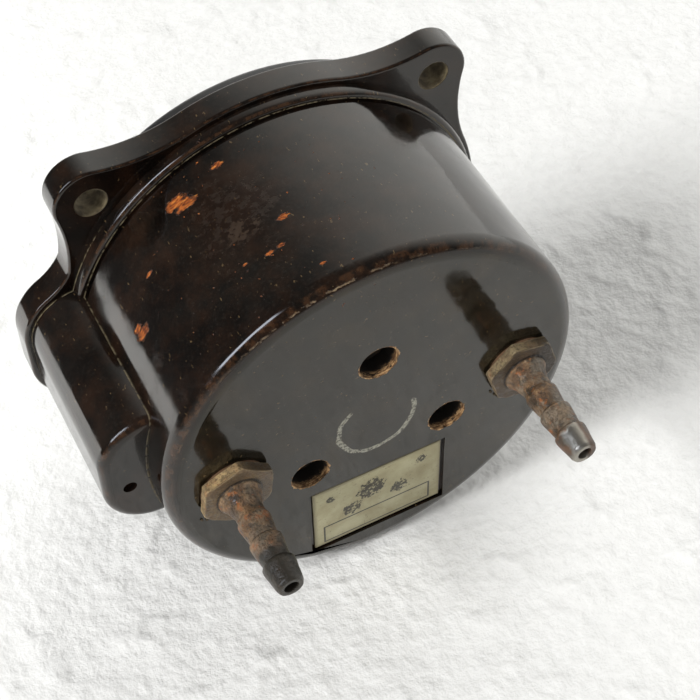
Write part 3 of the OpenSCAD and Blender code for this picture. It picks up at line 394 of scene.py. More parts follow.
@finish
def moulding(where, settings):
    """Glossy dark moulding with brown mottle, rubbed edges, scuffs, dust and a brushed ring of paint."""
    point = where["Point"]
    colour = mix(patches(point, 0.17, 9.0, 0.38, 0.72), settings.dark, settings.brown)
    colour = mix(patches(point, 1.3, 6.0, 0.56, 0.68) * 0.12, colour, times(settings.brown, 2.0))
    on_rear = ramp(where["Y"], REAR - 0.3, REAR - 0.1)
    # The rear face is tinted olive-grey: a painted reflection of a warm floor
    colour = mix(on_rear * 0.7, colour, (0.0095, 0.0088, 0.0055))
    colour = mix(on_rear * patches(point, 0.13, 8.0, 0.47, 0.68) * 0.75, colour, (0.024, 0.017, 0.008))
    nicks = patches(point, 1.5, 3.0, 0.675, 0.71, (1.0, 0.45, 1.0))
    colour = mix(nicks * 0.65, colour, (0.13, 0.088, 0.042))

    # Scuffed field on the upper side of the body, where the skin is dull and brown
    field = spot(point, (13.5, 17.0, 35.5), 12.0, 0.8)
    grit = patches(point, 0.75, 12.0, 0.45, 0.60, (0.9, 1.2, 1.0))
    scuff = field * grit
    colour = mix(field * 0.5, colour, times(settings.brown, 0.9))
    colour = mix(scuff * 0.45, colour, (0.019, 0.0115, 0.0070))
    smear = spot(point, (14.0, 20.5, 35.8), 3.6, 0.3, 1.5) * grit
    colour = mix(smear * 0.6, colour, (0.042, 0.025, 0.015))

    # Small chips that show the fresh, fibrous filler, and a few tiny specks round them
    fibres = texture(put("ShaderNodeMapping", {"Vector": point, "Scale": (0.8, 3.2, 0.9)}), 1.0, 6.0, 0.7)
    specks = patches(point, 1.1, 3.0, 0.70, 0.73) * spot(point, (13.0, 18.0, 35.0), 22.0, 0.5)
    chips = most(*(spot(point, centre, reach, 0.3, 1.9) for centre, reach in CHIPS), specks)
    fresh = mix(ramp(fibres, 0.40, 0.56), (0.070, 0.014, 0.004), settings.chipped)
    fresh = mix(ramp(fibres, 0.56, 0.66), fresh, (0.72, 0.30, 0.055))
    colour = mix(chips, colour, fresh)

    # Rubbed edges, and the rear rim's broken line of bare filler
    rub = edge_rub(point, 0.14, 1.0) * 0.22
    colour = mix(rub, colour, settings.worn)
    tatter = texture(point, 0.9, 7.0, 0.7) - 0.5
    rim = 1 - ramp(abs(where["Radius"] + tatter * 0.9 - (BODY_R - 1.15)), 0.06, 0.16)
    rim = rim * ramp(where["Y"], REAR - 2.6, REAR - 1.2) * patches(point, 0.5, 8.0, 0.47, 0.56)
    rim = rim * blend(spot(point, (6.5, REAR, 37.0), 19.5, 0.6), 0.10, 0.75)
    colour = mix(rim, colour, mix(ramp(fibres, 0.45, 0.65), (0.13, 0.085, 0.045), (0.32, 0.23, 0.13)))

    # Pale dirt in the creases between body, housing and flange
    beside = ramp(where["Radius"], BODY_R + 0.02, BODY_R + 0.04)
    beside = beside * ramp(where["Radius"], BODY_R + 0.32, BODY_R + 0.16) * ramp(where["Y"], 0.3, 0.5)
    above = ramp(where["Y"], 0.02, 0.04) * ramp(where["Y"], 0.34, 0.16) * ramp(where["X"], 30, 34)
    crease = most(beside, above) * ramp(tatter, -0.10, 0.06)
    colour = mix(crease * 0.8, colour, (0.20, 0.165, 0.10))

    # Rims of the three rear holes, crumbled and tan, with painted shade inside the holes
    flat = vector("MULTIPLY", point, (1, 0, 1))
    away = [vector("DISTANCE", flat, (x, 0, z)) for x, z in REAR_HOLES]
    crumbled = most(*(1 - ramp(gap + tatter * 1.7, REAR_HOLE_R + 0.02, REAR_HOLE_R + 0.22) for gap in away))
    crumbled = crumbled * ramp(where["Y"] + tatter * 3.0, REAR - 1.7, REAR - 0.7)
    # Painted shade: the holes' walls go nearly black deeper in
    inside = most(*(1 - ramp(gap, REAR_HOLE_R + 0.02, REAR_HOLE_R + 0.1) for gap in away))
    inside = inside * ramp(where["Y"], REAR - 0.1, REAR - 1.0)
    colour = mix(inside, colour, (0.007, 0.005, 0.004))
    colour = mix(crumbled, colour, mix(ramp(fibres, 0.42, 0.60), (0.13, 0.062, 0.026), (0.56, 0.35, 0.17)))

    # Walls of the bolt holes in pale olive-tan: dust, and painted light from the floor through the holes
    bolt = put("ShaderNodeCombineXYZ", {0: abs(where["X"]) - BOLT_XZ, 1: abs(where["Z"]) - BOLT_XZ})
    bolt = 1 - ramp(vector("LENGTH", bolt), 2.78, 3.0)
    wall = mix(patches(point, 0.45, 9.0, 0.35, 0.70), (0.060, 0.044, 0.024), (0.22, 0.18, 0.105))
    colour = mix(bolt * 0.9, colour, wall)

    # Open ring brushed on the rear face in pale paint
    dx, dz = where["X"] - RING_CENTRE[0], where["Z"] - RING_CENTRE[1]
    reach = vector("LENGTH", put("ShaderNodeCombineXYZ", {0: dx, 1: dz}))
    reach = reach + (texture(point, 0.22, 2.0) - 0.5) * 1.1
    stroke = 1 - ramp(abs(reach - RING_R), 0.34, 0.60)
    opening = ramp(abs(maths("ARCTAN2", dx, dz) + 0.27), 0.95, 1.1)
    ring = stroke * opening * patches(point, 1.7, 5.0, 0.34, 0.60) * on_rear
    colour = mix(ring * 0.85, colour, (0.41, 0.40, 0.33))

    # Dust and fine scratches
    lines = scratches(point, 0.5)
    colour = mix(dust(point, 0.035), colour, DUST)
    colour = mix(lines * 0.18, colour, times(settings.brown, 3))

    dull = most(chips, crumbled, ring, bolt, rim, inside, crease, field * 0.10 + scuff * 0.34)
    rough = blend(patches(point, 0.06, 5.0, 0.35, 0.7), 0.06, 0.14) + lines * 0.2
    rough = blend(dull, blend(rub, rough, 0.45), 0.85)
    grain = texture(point, 5.0, 4.0)
    height = texture(point, 0.10, 2.0) * 0.22 + grain * 0.003 - lines * 0.008 - chips * 0.35
    height = height - most(chips, crumbled, rim, bolt) * grain * 0.25 - scuff * grain * 0.04
    return dict(Base_Color=colour, Roughness=rough, Normal=bump(height, 0.8, 0.0006), IOR=1.54,
                Specular_IOR_Level=0.5, Specular_Tint=(1.0, 0.97, 0.92))


@finish
def rusted_plating(where, settings):
    """Rusted plating, rubbed to bare metal where the mesh's rub value is high."""
    point = where["Point"]
    rub = put("ShaderNodeAttribute", key="Fac", tree=point.tree, attribute_name="rub")
    cloud = patches(point, 0.38, 10.0, 0.38, 0.66)
    fine = patches(point, 2.2, 7.0, 0.45, 0.62)
    dark = patches(point, 0.30, 9.0, 0.50, 0.58)
    oily = patches(point, 0.7, 7.0, 0.54, 0.60)
    colour = mix(cloud, times(settings.rust, 1.25), times(settings.rust_light, 1.25))
    colour = mix(fine * 0.5, colour, (0.062, 0.033, 0.017))
    colour = mix(dark * 0.70, colour, (0.034, 0.024, 0.015))
    colour = mix(patches(point, 0.55, 6.0, 0.57, 0.64) * 0.7, colour, (0.34, 0.115, 0.034))
    colour = mix(oily * 0.8, colour, (0.030, 0.023, 0.015))

    # The plating that is left, mostly on the hexagon; right is 1 on the photo's right nipple
    on_hex = ramp(where["Y"], REAR + 2.9, REAR + 2.3)
    right = ramp(where["X"], 1.0, -1.0)
    across = where["X"] - blend(right, NIPPLES[1][0], NIPPLES[0][0])
    plated = patches(point, 0.24, 8.0, 0.46, 0.58) * blend(on_hex, blend(right, 0.25, 0.50), 0.95)
    plated = most(plated, on_hex * 0.45)
    bare = mix(right, times(settings.bare, 1.85, 1.72, 1.55), settings.bare)
    bare = mix(on_hex, (0.285, 0.240, 0.180), bare)
    colour = mix(plated, colour, mix(fine * 0.6, bare, (0.060, 0.042, 0.026)))
    # The hexagon's top face in rust browns, painted darker than its flats as shade, darker still on the right
    # nipple
    face = on_hex * ramp(where["Y"], REAR + 2.12, REAR + 2.24)
    face_shade_colour = mix(cloud, (0.060, 0.038, 0.022), (0.125, 0.075, 0.040))
    face_shade_colour = mix(right * 0.45, face_shade_colour, (0.022, 0.013, 0.008))
    colour = mix(face * blend(right, 0.75, 0.9), colour, face_shade_colour)
    # Painted shade on each hexagon's side away from the window, and on the right nipple's top face
    shade = on_hex * ramp(across, 0.5, -3.5) * blend(face, 1.0, right)
    colour = mix(shade * 0.75, colour, (0.022, 0.015, 0.010))
    edge = ramp(rub, 0.54, 0.80) * ramp(cloud["Noise"], 0.36, 0.58)
    colour = mix(edge * 0.8, colour, times(settings.bare, 1.25))
    # Painted shade in the hollows and crevices, where the rub value is low
    colour = mix(ramp(rub, 0.475, 0.36) * 0.9, colour, (0.010, 0.007, 0.005))

    # The outermost barbs have little rust: one tip is polished, the other dark
    stray = cloud["Noise"] - 0.5
    outward = where["Y"] + stray * 5.0
    sideways = across + stray * 1.2
    tip = blend(right, ramp(outward, REAR + 13.6, REAR + 15.6), ramp(outward, REAR + 16.6, REAR + 17.6))
    # On the right tip, dark brown, duller and less metallic along both sides, polished between them
    dark_tip_sides = right * most(ramp(sideways, -0.3, -1.1), ramp(sideways, 2.0, 2.5))
    tip_colour = mix(right, (0.032, 0.030, 0.025), (0.33, 0.31, 0.27))
    tip_colour = mix(dark_tip_sides * 0.9, tip_colour, mix(cloud, (0.030, 0.017, 0.010), (0.100, 0.042, 0.019)))
    colour = mix(tip * 0.92, colour, tip_colour)

    shiny = blend(right, 0.35, blend(dark_tip_sides, 0.85, 0.25))
    metal = most(plated * 0.35, tip * shiny, edge * 0.5)
    rough = blend(most(plated * 0.6, dark, oily), blend(cloud, 0.52, 0.75), 0.33)
    rough = blend(tip, rough, blend(right, 0.32, blend(dark_tip_sides, 0.34, 0.45)))
    height = (fine * -0.5 + cloud["Noise"]) * blend(tip, 1.0, blend(right, 0.25, 0.07))
    return dict(Base_Color=colour, Metallic=metal, Roughness=rough, Normal=bump(height, 0.7, 0.00028),
                Specular_IOR_Level=0.6)


@finish
def label_lacquer(where):
    """Aged cream lacquer with a ruled box and dark smudges."""
    point, x, z = where["Point"], where["X"], where["Z"]
    age = patches(point, 0.16, 6.0, 0.3, 0.75)
    colour = mix(age, (0.40, 0.37, 0.225), (0.27, 0.235, 0.13))
    colour = mix(patches(point, 1.6, 7.0, 0.6, 0.7) * 0.6, colour, (0.10, 0.075, 0.04))
    sides = []
    for along, (low, high), across, lines in [
        (x, LABEL_BOX_X, z, LABEL_BOX_Z), (z, LABEL_BOX_Z, x, LABEL_BOX_X),
    ]:
        between = ramp(along, low - 0.15, low - 0.05) * ramp(along, high + 0.15, high + 0.05)
        sides += [(1 - ramp(abs(across - line), 0.13, 0.22)) * between for line in lines]
    colour = mix(most(*sides) * 0.92, colour, (0.016, 0.014, 0.011))
    smudge = most(*(spot(point, centre, reach, 0.12) for centre, reach in LABEL_SMUDGES))
    smudge = ramp(smudge, 0.1, 0.5) * patches(point, 1.5, 6.0, 0.36, 0.50)
    colour = mix(smudge * 0.92, colour, (0.020, 0.016, 0.011))
    border = least(LABEL_HI.x / MM - x, x - LABEL_LO.x / MM, LABEL_HI.z / MM - z, z - LABEL_LO.z / MM)
    dirt = 1 - ramp(border + age * 0.6, 0.3, 1.0)
    colour = mix(dirt * 0.6, colour, (0.14, 0.11, 0.06))
    return dict(Base_Color=colour, Roughness=blend(age, 0.38, 0.6),
                Normal=bump(texture(point, 1.2, 5.0), 0.35, 0.0002))


@finish
def enamel(where, base, rough, bare=(0.32, 0.30, 0.27), gloss=0.5, relief=0.25):
    """Enamel on metal, worn through on its edges."""
    point = where["Point"]
    shade = patches(point, 0.2, 6.0, 0.3, 0.7)
    rub = edge_rub(point, 0.14, 0.95) * 0.6
    colour = mix(rub, mix(shade, base, times(base, 1.5)), bare)
    colour = mix(dust(point, 0.12), colour, DUST)
    return dict(Base_Color=colour, Metallic=rub * 0.9, Roughness=blend(shade, rough, rough + 0.12),
                Normal=bump(texture(point, 3.0, 5.0), relief, 0.00015), Specular_IOR_Level=gloss)


@finish
def turned_metal(where, base, rough, tarnish, tarnish_colour, pitch=6.0):
    """Turned or rolled metal with fine rings and a little tarnish."""
    cloud = patches(where["Point"], 0.35, 7.0, 0.6 - 0.35 * tarnish, 0.75)
    rings = turning_marks(where["Radius"], where["Y"], pitch)
    colour = mix(rings * 0.25, mix(cloud * tarnish, base, tarnish_colour), times(base, 0.6))
    return dict(Base_Color=colour, Metallic=1.0, Roughness=blend(cloud["Noise"], rough, rough + 0.22),
                Normal=bump(rings, 0.3, 0.0001))


@finish
def rubber(where, base, rough):
    """Aged rubber or fibre with a dull bloom."""
    bloom = patches(where["Point"], 0.7, 6.0, 0.4, 0.7)
    colour = mix(bloom, base, [min(1, channel * 1.8 + 0.01) for channel in base])
    return dict(Base_Color=colour, Roughness=blend(bloom["Noise"], rough - 0.1, rough + 0.1),
                Normal=bump(bloom["Noise"], 0.4, 0.0001))


@finish
def glass(where):
    """Clear cover glass with a little dust at its rim."""
    haze = patches(where["Point"], 0.12, 5.0, 0.4, 0.75)
    rough = 0.01 + haze * ramp(where["Radius"], 29.0, 34.0) * 0.12
    return dict(Base_Color=mix(haze, (0.97, 0.99, 0.98), (0.93, 0.95, 0.93)), Roughness=rough, IOR=1.5,
                Specular_IOR_Level=0.15, Transmission_Weight=1.0)


@finish
def luminous_paint(where, base):
    """Aged luminous paint, slightly cracked."""
    age = patches(where["Point"], 0.9, 6.0, 0.35, 0.7)
    return dict(Base_Color=mix(age, base, times(base, 0.8, 0.74, 0.6)), Roughness=0.7,
                Normal=bump(age["Noise"], 0.4, 0.00015))


@finish
def painted_board(where, settings):
    """Brushed white paint on a board."""
    point = where["Point"]
    lumps = texture(point, 0.42, 4.0, 0.55)
    height = lumps + texture(point, 0.06, 2.0) * 2.0 + ramp(texture(point, 0.12, 1.5), 0.50, 0.95) * 1.3
    colour = mix(ramp(lumps, 0.35, 0.60), times(settings.floor, 0.96), settings.floor)
    return dict(Base_Color=colour, Roughness=0.5, Normal=bump(height, 0.6, 0.0011), Specular_IOR_Level=0.35)


def turned_steel():
    return turned_metal("Turned steel", (0.42, 0.41, 0.40), 0.3, 0.5, (0.12, 0.09, 0.06))


# Mesh helpers
def new_object(name, data):
    obj = bpy.data.objects.new(name, data)
    bpy.context.scene.collection.objects.link(obj)
    return obj


def mesh_of(bm, name):
    """The mesh of a finished bmesh, which is freed."""
    mesh = bpy.data.meshes.new(name)
    bm.to_mesh(mesh)
    bm.free()
    return mesh


def opened(mesh):
    bm = bmesh.new()
    bm.from_mesh(mesh)
    return bm


def merged_copy(node, name):
    """A welded copy of a CAD node's mesh, as a new object at the origin."""
    bm = opened(frame["nodes"][node].data)
    bmesh.ops.remove_doubles(bm, verts=bm.verts, dist=2e-7)
    mesh = mesh_of(bm, name)
    for attribute in [a.name for a in mesh.attributes if a.name in ("custom_normal", "sharp_face")]:
        mesh.attributes.remove(mesh.attributes[attribute])
    return new_object(name, mesh)


def smooth(obj, sharp=38):
    """Shades an object smoothly, apart from edges of at least so many degrees."""
    obj.data.shade_smooth()
    obj.data.set_sharp_from_angle(angle=math.radians(sharp))


def paint(obj, material):
    obj.data.materials.clear()
    obj.data.materials.append(material)
    return obj


def bake_modifiers(obj):
    """Puts the evaluated mesh in place of the object's modifiers."""
    graph = bpy.context.evaluated_depsgraph_get()
    mesh = bpy.data.meshes.new_from_object(obj.evaluated_get(graph))
    obj.modifiers.clear()
    obj.data = mesh


def round_edges(obj, chosen, width, segments, sharp=math.radians(35)):
    """Rounds the sharp edges whose middle point and angle pass the test."""
    bm = opened(obj.data)
    bm.normal_update()
    edges = []
    for edge in bm.edges:
        if len(edge.link_faces) == 2:
            angle = edge.calc_face_angle_signed(0.0)
            middle = (edge.verts[0].co + edge.verts[1].co) / 2
            if abs(angle) > sharp and chosen(middle / MM, angle):
                edges.append(edge)
    bmesh.ops.bevel(bm, geom=edges, offset=width, segments=segments, profile=0.5,
                    affect="EDGES", clamp_overlap=False)
    bm.to_mesh(obj.data)
    bm.free()


def flatten_faces(obj):
    bm = opened(obj.data)
    bmesh.ops.dissolve_limit(bm, angle_limit=math.radians(0.15), verts=bm.verts, edges=bm.edges)
    bm.to_mesh(obj.data)
    bm.free()


def rounded_copy(node, name, width=SMALL_EDGE, sharp=38, back=math.inf):
    """A copy of a CAD node with its outward edges rounded, as far back as this many millimetres."""
    obj = merged_copy(node, name)
    flatten_faces(obj)
    round_edges(obj, lambda point, angle: angle > 0 and point.y < back, width, 2)
    smooth(obj, sharp)
    return obj


def level_normals(obj):
    """Keeps flat faces flat to the eye where they meet a rounded rim."""
    weigh = obj.modifiers.new("level", "WEIGHTED_NORMAL")
    weigh.weight = 100
    weigh.keep_sharp = True
    bake_modifiers(obj)


def numbers(items, name, width, kind=float):
    """One property of all of a mesh's points or edges, as rows of numbers."""
    values = np.empty(len(items) * width, dtype=kind)
    items.foreach_get(name, values)
    return values.reshape(-1, width)


def rub_values(obj, reach=3, full=0.09):
    """Stores how far each point stands out from its neighbours, from 0 to 1 over full millimetres, as rub."""
    mesh = obj.data
    places = numbers(mesh.vertices, "co", 3)
    normals = numbers(mesh.vertices, "normal", 3)
    a, b = numbers(mesh.edges, "vertices", 2, np.int64).T
    degree = np.bincount(np.concatenate([a, b]), minlength=len(places)).clip(1)

    def average(values):
        total = np.zeros_like(values)
        np.add.at(total, a, values[b])
        np.add.at(total, b, values[a])
        return (total.T / degree).T

    soft = places
    for _ in range(reach):
        soft = average(soft)
    stands = ((places - soft) * normals).sum(axis=1) / MM
    for _ in range(2):
        stands = average(stands)
    attribute = mesh.attributes.new("rub", "FLOAT", "POINT")
    attribute.data.foreach_set("value", np.clip(stands / full * 0.5 + 0.5, 0, 1))


def pit(obj, depth):
    """Moves each outside point in along its normal by smooth noise of two sizes."""
    mesh = obj.data
    moved = np.empty(len(mesh.vertices) * 3)
    for k, vertex in enumerate(mesh.vertices):
        point = vertex.co / MM
        coarse = noise.noise(point * 0.55)
        fine = noise.noise(point * 1.7 + Vector((9, 4, 2)))
        inward = max(0.0, coarse) * 0.9 + max(0.0, fine) * 0.7
        moved[3 * k:3 * k + 3] = vertex.co - vertex.normal * depth * inward
    mesh.vertices.foreach_set("co", moved)
    mesh.update()


# Geometry Nodes trees
def geometry_tree(name, **inputs):
    """A Geometry Nodes tree with these inputs after its geometry, and the wire of its input geometry."""
    tree = bpy.data.node_groups.new(name, "GeometryNodeTree")
    tree.interface.new_socket("Geometry", in_out="INPUT", socket_type="NodeSocketGeometry")
    for label, value in inputs.items():
        kind = "NodeSocketInt" if isinstance(value, int) else "NodeSocketFloat"
        tree.interface.new_socket(label, in_out="INPUT", socket_type=kind).default_value = value
    tree.interface.new_socket("Geometry", in_out="OUTPUT", socket_type="NodeSocketGeometry")
    return tree, Wire(tree.nodes.new("NodeGroupInput"))


def make_real(tree, instances, material):
    """Ends a tree: the instances are made real and given their material."""
    real = put("GeometryNodeRealizeInstances", {0: instances})
    done = put("GeometryNodeSetMaterial", {"Geometry": real, "Material": material})
    join(tree.nodes.new("NodeGroupOutput"), {0: done})


def grow(obj, tree, **values):
    """Runs a tree on the object with these inputs and keeps the mesh that it makes."""
    modifier = obj.modifiers.new(tree.name, "NODES")
    modifier.node_group = tree
    for socket in tree.interface.items_tree:
        if socket.in_out == "INPUT" and socket.name in values:
            modifier[socket.identifier] = values[socket.name]
    bake_modifiers(obj)


def crumb_tree(material):
    """Scatters small broken crumbs over a face."""
    tree, given = geometry_tree("Sealant crumbs", Density=1100000.0, Smallest=0.00008, Largest=0.0003, Seed=4)
    points = put("GeometryNodeDistributePointsOnFaces", {
        "Mesh": given, "Density": given["Density"], "Seed": given["Seed"]}, "Points")
    crumb = put("GeometryNodeMeshIcoSphere", {"Radius": 1.0, "Subdivisions": 2}, tree=tree)
    jag = put("ShaderNodeTexNoise", {"Scale": 1.6, "Detail": 3.0}, 1, tree)
    offset = vector("SUBTRACT", jag, (0.5, 0.5, 0.5))
    offset = put("ShaderNodeVectorMath", {0: offset, "Scale": 1.8}, operation="SCALE")
    crumb = put("GeometryNodeSetPosition", {"Geometry": crumb, "Offset": offset})
    size = put("FunctionNodeRandomValue", {
        2: given["Smallest"], 3: given["Largest"], "Seed": given["Seed"]}, 1, data_type="FLOAT")
    turn = put("FunctionNodeRandomValue", {
        0: (0, 0, 0), 1: (6.28, 6.28, 6.28), "Seed": given["Seed"]}, data_type="FLOAT_VECTOR")
    make_real(tree, put("GeometryNodeInstanceOnPoints", {
        "Points": points, "Instance": crumb, "Rotation": turn, "Scale": size}), material)
    return tree


def mark_tree(material):
    """Sets flat bars round the dial, symmetric about its nine o'clock mark."""
    tree, given = geometry_tree(
        "Dial marks", Count=31, Span=5.585, Radius=0.03, Length=0.003, Width=0.0005,
        Thickness=0.00004, Depth=-0.0032)
    index = put("GeometryNodeInputIndex", tree=tree)
    angle = (maths("DIVIDE", index, given["Count"] - 1.0) - 0.5) * given["Span"]
    middle = given["Radius"] - given["Length"] * 0.5
    x = maths("COSINE", angle) * (middle * -1.0)
    z = maths("SINE", angle) * middle
    place = put("ShaderNodeCombineXYZ", {0: x, 1: given["Depth"], 2: z})
    points = put("GeometryNodePoints", {"Count": given["Count"], "Position": place})
    size = put("ShaderNodeCombineXYZ", {0: given["Length"], 1: given["Thickness"], 2: given["Width"]})
    bar = put("GeometryNodeMeshCube", {"Size": size})
    turn = put("ShaderNodeCombineXYZ", {1: angle})
    make_real(tree, put("GeometryNodeInstanceOnPoints", {
        "Points": points, "Instance": bar, "Rotation": turn}), material)
    return tree


# Operators
def light_world(world):
    """A dim room with one broad, soft window behind the instrument's dial and a narrow one at the left."""
    world.use_nodes = True
    tree = world.node_tree
    tree.nodes.clear()
    aim = put("ShaderNodeTexCoord", key="Generated", tree=tree)
    axes = put("ShaderNodeSeparateXYZ", {0: aim})
    side, facing, height = axes["X"], axes["Y"], axes["Z"]
    glossy = put("ShaderNodeLightPath", key="Is Glossy Ray", tree=tree)

    # Gloss sees the upper part of the room dark, also behind the camera
    lit = ramp(facing, -0.05, 0.85) * (1 - glossy * ramp(height, 0.02, 0.20))
    room = mix(lit, (0.08, 0.08, 0.08), (0.75, 0.74, 0.72))
    toward = vector("DOT_PRODUCT", aim, (-0.8, -0.6, 0.0))
    sky = mix(ramp(toward, 0.14, 0.97), room, (1.60, 1.60, 1.55))

    # Only gloss shows the tall, narrow window over the left side
    pane = ramp(height, 0.30, 0.42) * ramp(height, 0.88, 0.80) * ramp(abs(facing - 0.13), 0.12, 0.07)
    sky = mix(pane * ramp(side, 0.25, 0.35) * glossy, sky, (9.5, 10.5, 12.5))

    # The camera sees a plain, pale background, and so does gloss that looks down past the floor
    light = put("ShaderNodeBackground", {0: sky, 1: 1.0})
    plain = put("ShaderNodeBackground", {0: (0.93, 0.93, 0.92), 1: 1.0}, tree=tree)
    direct = most(glossy["Is Camera Ray"], glossy["Is Transmission Ray"], glossy * ramp(height, -0.27, -0.32))
    shown = put("ShaderNodeMixShader", {0: direct, 1: light, 2: plain})
    join(tree.nodes.new("ShaderNodeOutputWorld"), {0: shown})


def floor_material(settings):
    """The painted board, where the gloss of the case shows the room instead of the far floor."""
    material = painted_board("Painted board", settings)
    tree = material.node_tree
    glossy = put("ShaderNodeLightPath", key="Is Glossy Ray", tree=tree)
    far = glossy * ramp(millimetres(tree=tree)["X"], 225, 262)
    clear = put("ShaderNodeBsdfTransparent", tree=tree)
    shown = put("ShaderNodeMixShader", {0: far, 1: Wire(find(tree, "BSDF_PRINCIPLED")), 2: clear})
    join(find(tree, "OUTPUT_MATERIAL"), {0: shown})
    return material


def lamp(name, kind, energy, place, **settings):
    """A lamp that gloss doesn't show."""
    data = bpy.data.lights.new(name, kind)
    data.energy = energy
    for key, value in settings.items():
        setattr(data, key, value)
    light = new_object(name, data)
    light.location = place
    light.visible_glossy = False
    return light


class INDICATOR_OT_stage(bpy.types.Operator):
    """Makes the camera, floor, lamps and world"""
    bl_idname = "indicator.stage"
    bl_label = "Stage"

    def execute(self, context):
        settings = context.scene.indicator_stage
        scene = context.scene
        scene.view_settings.view_transform = "Standard"
        data = bpy.data.cameras.new("Camera")
        data.lens = settings.lens
        data.sensor_width = 36
        camera = new_object("Camera", data)
        right = Vector((-0.88817, 0.45922, -0.01659))
        up = Vector((-0.37002, -0.69331, 0.61838))
        back = Vector((0.27247, 0.55537, 0.78570))
        place = Vector((0.07515, 0.18214, 0.22358))
        turn = Matrix((right, up, back)).transposed()
        camera.matrix_world = Matrix.Translation(place) @ turn.to_4x4()
        scene.camera = camera

        mesh = bpy.data.meshes.new("floor")
        corners = [(x * FLOOR_SIZE, y * FLOOR_SIZE, 0) for x, y in [(-1, -1), (1, -1), (1, 1), (-1, 1)]]
        mesh.from_pydata(corners, [], [(0, 1, 2, 3)])
        tilt = math.atan2(FLANGE_REACH - BODY_R, REST_SPAN)
        mesh.transform(Matrix.Translation((0, 0, FLOOR_Z)) @ Matrix.Rotation(tilt, 4, "X"))
        floor = paint(new_object("floor", mesh), floor_material(settings))

        # Daylight from a window at the photograph's left
        window = Vector((0.77, 0.10, 0.63))
        light = lamp("near window", "SUN", settings.daylight, window * 0.5,
                     angle=settings.softness, color=(1.0, 1.0, 0.99))
        light.rotation_mode = "QUATERNION"
        light.rotation_quaternion = (-window).to_track_quat("-Z", "Y")

        # A pool of light on the floor outside the picture, which the case's gloss shows as a pale band
        lamp("floor lamp", "SPOT", settings.floor_lamp, (0.22, -0.11, 0.26),
             spot_size=math.radians(70), spot_blend=1.0, shadow_soft_size=0.08)

        scene.world = bpy.data.worlds.new("room")
        light_world(scene.world)
        return {"FINISHED"}


class INDICATOR_OT_case(bpy.types.Operator):
    """Rounds the moulded case's edges and gives it its worn finish"""
    bl_idname = "indicator.case"
    bl_label = "Case"

    def execute(self, context):
        settings = context.scene.indicator_case
        case = merged_copy("case_housing", "case_skin")
        flatten_faces(case)

        def on_flange(point):
            return abs(point.y) < NEAR or abs(point.y + FLANGE_T) < NEAR

        def from_axis(point):
            return math.hypot(point.x, point.z)

        def from_bolt(point):
            return math.hypot(abs(point.x) - BOLT_XZ, abs(point.z) - BOLT_XZ)

        def outline(point, angle):
            return angle > 0 and on_flange(point) and from_axis(point) > OUTLINE_R \
                and from_bolt(point) > BOLT_AREA_R and math.hypot(point.x - SCREW_X, point.z) > SCREW_AREA_R

        def small(point, angle):
            at_bolt = from_bolt(point) < BOLT_AREA_R and on_flange(point)
            at_rear = abs(point.y - REAR) < NEAR and from_axis(point) < REAR_FLAT_R
            return angle > 0 and (at_bolt or at_rear)

        round_edges(case, outline, settings.edge_round, 3)
        round_edges(case, small, settings.hole_round, 2)
        smooth(case)
        level_normals(case)
        paint(case, moulding("Moulded phenolic", settings))
        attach(case, "case")
        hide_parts("case_housing")
        return {"FINISHED"}


class INDICATOR_OT_nipples(bpy.types.Operator):
    """Makes the two pitted, rusted hose nipples"""
    bl_idname = "indicator.nipples"
    bl_label = "Hose nipples"

    def execute(self, context):
        settings = context.scene.indicator_fittings
        for node in ("nipple_static", "nipple_vessel"):
            nipple = merged_copy(node, node + "_rusted")
            remesh = nipple.modifiers.new("cells", "REMESH")
            remesh.mode = "VOXEL"
            remesh.voxel_size = settings.voxel
            bake_modifiers(nipple)
            rub_values(nipple)
            pit(nipple, settings.pitting)
            nipple.data.shade_smooth()
            paint(nipple, rusted_plating("Rusted nipple steel", settings))
            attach(nipple, "case")
            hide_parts(node)
        return {"FINISHED"}


class INDICATOR_OT_crumbs(bpy.types.Operator):
    """Scatters hardened sealant crumbs round the foot of each nipple's hexagon"""
    bl_idname = "indicator.crumbs"
    bl_label = "Sealant crumbs"

    def execute(self, context):
        tree = crumb_tree(rubber("Hardened sealant", (0.045, 0.034, 0.020), 0.7))
        step, sweep, inner = 6, 36, 6.6
        for k, ((x, z), first) in enumerate(zip(NIPPLES, (-78, -60))):
            # A ragged strip beside the hexagon, in quads of a few degrees
            bm = bmesh.new()
            for start in range(first, first + sweep, step):
                outer = 8.2 + 2.5 * noise.noise(Vector((start * 0.05 + 7 * k, 2.0, 0)))
                end = start + step
                quad = []
                for angle, radius in [(start, inner), (end, inner), (end, outer), (start, outer)]:
                    a = math.radians(angle)
                    quad.append(bm.verts.new((
                        (x + radius * math.cos(a)) * MM, (REAR + 0.1) * MM, (z + radius * math.sin(a)) * MM)))
                bm.faces.new(quad)
            crumbs = new_object(f"sealant_crumbs_{k + 1}", mesh_of(bm, "crumbs"))
            grow(crumbs, tree, Seed=11 + k)
            crumbs.data.shade_smooth()
            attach(crumbs, "case")
        return {"FINISHED"}


class INDICATOR_OT_label(bpy.types.Operator):
    """Rounds the blank label plate and ages it"""
    bl_idname = "indicator.label"
    bl_label = "Label plate"

    def execute(self, context):
        label = rounded_copy("label_plate", "label_aged", LABEL_EDGE, 30)
        paint(label, label_lacquer("Aged label lacquer"))
        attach(label, "case")
        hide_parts("label_plate")
        return {"FINISHED"}


